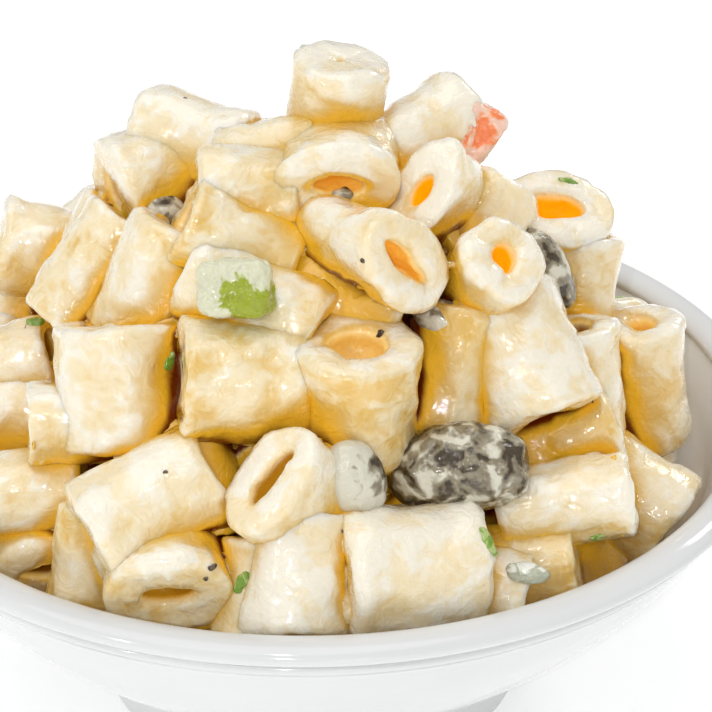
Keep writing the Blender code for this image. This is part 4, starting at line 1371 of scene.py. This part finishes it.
FLECKS = (
    Fleck("herb", 568, 181, -12, 2.4, 0.8, 0.5),
    Fleck("herb", 170, 362, 75, 2.2, 1.2, 0.6),
    Fleck("herb", 241, 583, 60, 2.6, 1.3, 0.7),
    Fleck("herb", 488, 541, 110, 3.4, 1.3, 0.8),
    Fleck("herb", 598, 537, 10, 1.8, 1.2, 0.6),
    Fleck("herb", 35, 322, -30, 2.2, 1.6, 0.7),
    Fleck("onion", 527, 573, -12, 4.8, 2.4, 1.3),
    Fleck("pepper", 362, 260, 0, 0.5, 0.4, 0.3),
    Fleck("pepper", 380, 334, 30, 1.2, 0.9, 0.5),
    Fleck("pepper", 343, 531, 0, 0.6, 0.5, 0.3),
    Fleck("pepper", 213, 567, 0, 0.9, 0.7, 0.5),
    Fleck("pepper", 205, 578, 0, 0.5, 0.4, 0.3),
    Fleck("pepper", 165, 472, 0, 0.5, 0.4, 0.3),
    Fleck("pepper", 185, 98, 0, 0.5, 0.4, 0.3),
    Fleck("olive", 343, 195, 0, 2.4, 1.8, 1.2),
)
FLECK_SKIN = {"Wrinkle size": 0.0009, "Wrinkle depth": 0.00042}


def tree_of(item):
    mesh_data = item.data
    corners = [vertex.co.copy() for vertex in mesh_data.vertices]
    return BVHTree.FromPolygons(corners, [tuple(face.vertices) for face in mesh_data.polygons])


salad_trees = [tree_of(item) for item in (pasta_front, pasta_back, dressing)]


def first_hit(origin, direction):
    """Where a line first meets the salad, and which way the surface faces there."""
    nearest = None
    for salad in salad_trees:
        point, normal, index, distance = salad.ray_cast(origin, direction)
        if point is not None and (nearest is None or distance < nearest[2]):
            nearest = (point, normal, distance)
    return nearest


def fleck_mesh(name, flecks):
    """Flat rounded crumbs in one mesh, each lying on the surface at its place."""
    work = bmesh.new()
    for fleck, point, normal in flecks:
        start = len(work.verts)
        bmesh.ops.create_icosphere(work, subdivisions=3, radius=0.5)
        work.verts.ensure_lookup_table()
        turn = math.radians(fleck.turn)
        along = EYE_RIGHT * math.cos(turn) + EYE_UP * math.sin(turn)
        side = normal.cross(along).normalized()
        frame = Matrix((side.cross(normal), side, normal)).transposed()
        sizes = Vector((fleck.long, fleck.wide, fleck.thick)) / 1000
        for corner in work.verts[start:]:
            corner.co = point + frame @ Vector([corner.co[k] * sizes[k] for k in range(3)])
    return mesh_from(work, name)


for kind in ("herb", "onion", "pepper", "olive"):
    found = []
    for fleck in FLECKS:
        hit = first_hit(EYE, sight_direction(fleck.px, fleck.py)) if fleck.kind == kind else None
        if hit:
            found.append((fleck, hit[0], hit[1]))
    piece = grown(kind + "_flecks", fleck_mesh(kind, found), skin_tree,
                  {**FLECK_SKIN, "Material": food_finishes[kind]})
    piece.data.shade_smooth()
    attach(piece, BODY)
    print(kind, len(found), "flecks")


# %% [markdown]
# The far side, which the picture doesn't show, gets the same specks and flecks. A third tree puts
# points on the faces there that look up and lie open, and a small crumb on each point, sized at
# random. The seed is fixed, so that every run gives the same crumbs.

# %% Specks and flecks on the far side
# Crumbs lie behind this y, on faces that look up by at least a share and lie open
FAR_SIDE = 0.004
LOOKS_UP = 0.25
LIES_OPEN = 0.30
# The least and the most length, width and thickness, as shares of the tree's input
CRUMB_SIZES = ((0.5, 0.3, 0.3), (1.5, 0.8, 0.5))
CRUMB_SIZE_SEED = 4
CRUMB_LUMPS = (0.0009, 0.00012, 2.0)

crumb_tree, given = new_tree("scattered_crumbs", (
    ("Density", "Float", 3000.0), ("Seed", "Int", 1), ("Length", "Float", 0.0008),
    ("Material", "Material", None)))
place_there = add_node(crumb_tree, "GeometryNodeInputPosition")
behind = calculate(crumb_tree, "GREATER_THAN", split(crumb_tree, place_there, "Y"), FAR_SIDE)
facing_up = calculate(crumb_tree, "GREATER_THAN", named(crumb_tree, "upward", "FLOAT"), LOOKS_UP)
lying_open = calculate(crumb_tree, "LESS_THAN", named(crumb_tree, "crevice", "FLOAT"), LIES_OPEN)
chosen = calculate(crumb_tree, "MULTIPLY", behind, facing_up)
chosen = calculate(crumb_tree, "MULTIPLY", chosen, lying_open)
points = add_node(crumb_tree, "GeometryNodeDistributePointsOnFaces", {"distribute_method": "RANDOM"},
                  {"Mesh": given["Geometry"], "Selection": chosen, "Density": given["Density"],
                   "Seed": given["Seed"]})
crumb = add_node(crumb_tree, "GeometryNodeMeshIcoSphere", None, {"Radius": 0.5, "Subdivisions": 2})
sizes = add_node(crumb_tree, "FunctionNodeRandomValue", {"data_type": "FLOAT_VECTOR"},
                 {"Min": CRUMB_SIZES[0], "Max": CRUMB_SIZES[1], "Seed": CRUMB_SIZE_SEED})
turned = socket_of(points.node.outputs, "Rotation")
crumbs = add_node(crumb_tree, "GeometryNodeInstanceOnPoints", None,
                  {"Points": points, "Instance": crumb, "Rotation": turned,
                   "Scale": scaled(crumb_tree, sizes, given["Length"])})
crumbs = add_node(crumb_tree, "GeometryNodeRealizeInstances", None, {"Geometry": crumbs})
crumbs = surface_lumps(crumb_tree, crumbs, *CRUMB_LUMPS)
end_tree(crumb_tree, crumbs, given["Material"])

# The kind, how many on a square metre, the seed, and the length in metres
FAR_CRUMBS = (("pepper", 9000.0, 5, 0.0007), ("herb", 4000.0, 8, 0.0021))
for kind, density, seed, length in FAR_CRUMBS:
    values = {"Density": density, "Seed": seed, "Length": length, "Material": food_finishes[kind]}
    piece = grown(kind + "_flecks_behind", pasta_back.data, crumb_tree, values)
    piece.data.shade_smooth()
    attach(piece, BODY)
    print(piece.name, triangle_count(piece), "triangles")


# %% [markdown]
# The picture is a bright studio shot on white: one soft, broad light from straight overhead, a
# white room all round, and a white table that throws light back up. Five small lamps add the
# bright glints that make the dressing look wet. One of them stands beside the camera.

# %% Table, room and lamps
# Each lamp's name, place, size in metres and power in watts. All of them aim at LAMP_AIM.
LAMPS = (
    ("front_low", (0.12, -0.70, 0.10), 0.10, 0.14),
    ("front_left", (-0.42, -0.45, 0.38), 0.008, 0.50),
    ("beside_camera", (-0.06, -0.62, 0.42), 0.010, 0.65),
    ("overhead_front", (-0.05, -0.28, 0.65), 0.015, 0.22),
    ("behind_right", (0.34, 0.40, 0.42), 0.16, 0.60),
)
LAMP_AIM = Vector((0.0, 0.0, 0.045))
SUN_FROM = Vector((-0.15, 0.05, 1.0))
SUN_STRENGTH = 0.80
SUN_ANGLE = math.radians(50)
ROOM_LIGHT_LOW = 0.50
ROOM_LIGHT_HIGH = 0.54
TABLE_GLOW = 0.25
TABLE_REACH = 3

table_finish, tree, shader, place = new_material("white_table_paper", 0.8, 1.45)
shader.inputs["Base Color"].default_value = linear_colour("FBFBFB")
shader.inputs["Emission Color"].default_value = linear_colour("FFFFFF")
shader.inputs["Emission Strength"].default_value = TABLE_GLOW
table_mesh = bpy.data.meshes.new("table")
corners = [(x * TABLE_REACH, y * TABLE_REACH, 0) for x, y in ((-1, -1), (1, -1), (1, 1), (-1, 1))]
table_mesh.from_pydata(corners, [], [(0, 1, 2, 3)])
table = new_object("table", table_mesh, table_finish)

world = bpy.data.worlds.new("white_room")
world.use_nodes = True
tree = world.node_tree
background = tree.nodes["Background"]
background.inputs["Color"].default_value = (1.0, 1.0, 1.0, 1.0)
seen = add_node(tree, "ShaderNodeLightPath", None, None, "Is Camera Ray")
height = split(tree, add_node(tree, "ShaderNodeTexCoord", output="Generated"), "Z")
wall_light = ramp_between(tree, height, 0.0, 0.9, ROOM_LIGHT_LOW, ROOM_LIGHT_HIGH)
room = add_node(tree, "ShaderNodeMapRange", None, {"Value": seen, "To Min": wall_light, "To Max": 1.0})
tree.links.new(room, background.inputs["Strength"])
bpy.context.scene.world = world
bpy.context.scene.view_settings.view_transform = "Standard"
bpy.context.scene.view_settings.look = "None"
sun_data = bpy.data.lights.new("overhead", "SUN")
sun_data.energy = SUN_STRENGTH
sun_data.angle = SUN_ANGLE
aim(new_object("overhead", sun_data), -SUN_FROM)
for name, place, size, power in LAMPS:
    lamp_data = bpy.data.lights.new(name, "AREA")
    lamp_data.shape = "SQUARE"
    lamp_data.size = size
    lamp_data.energy = power
    lamp = new_object(name, lamp_data)
    lamp.location = place
    aim(lamp, LAMP_AIM - Vector(place))

# %% The end
bpy.context.view_layer.update()
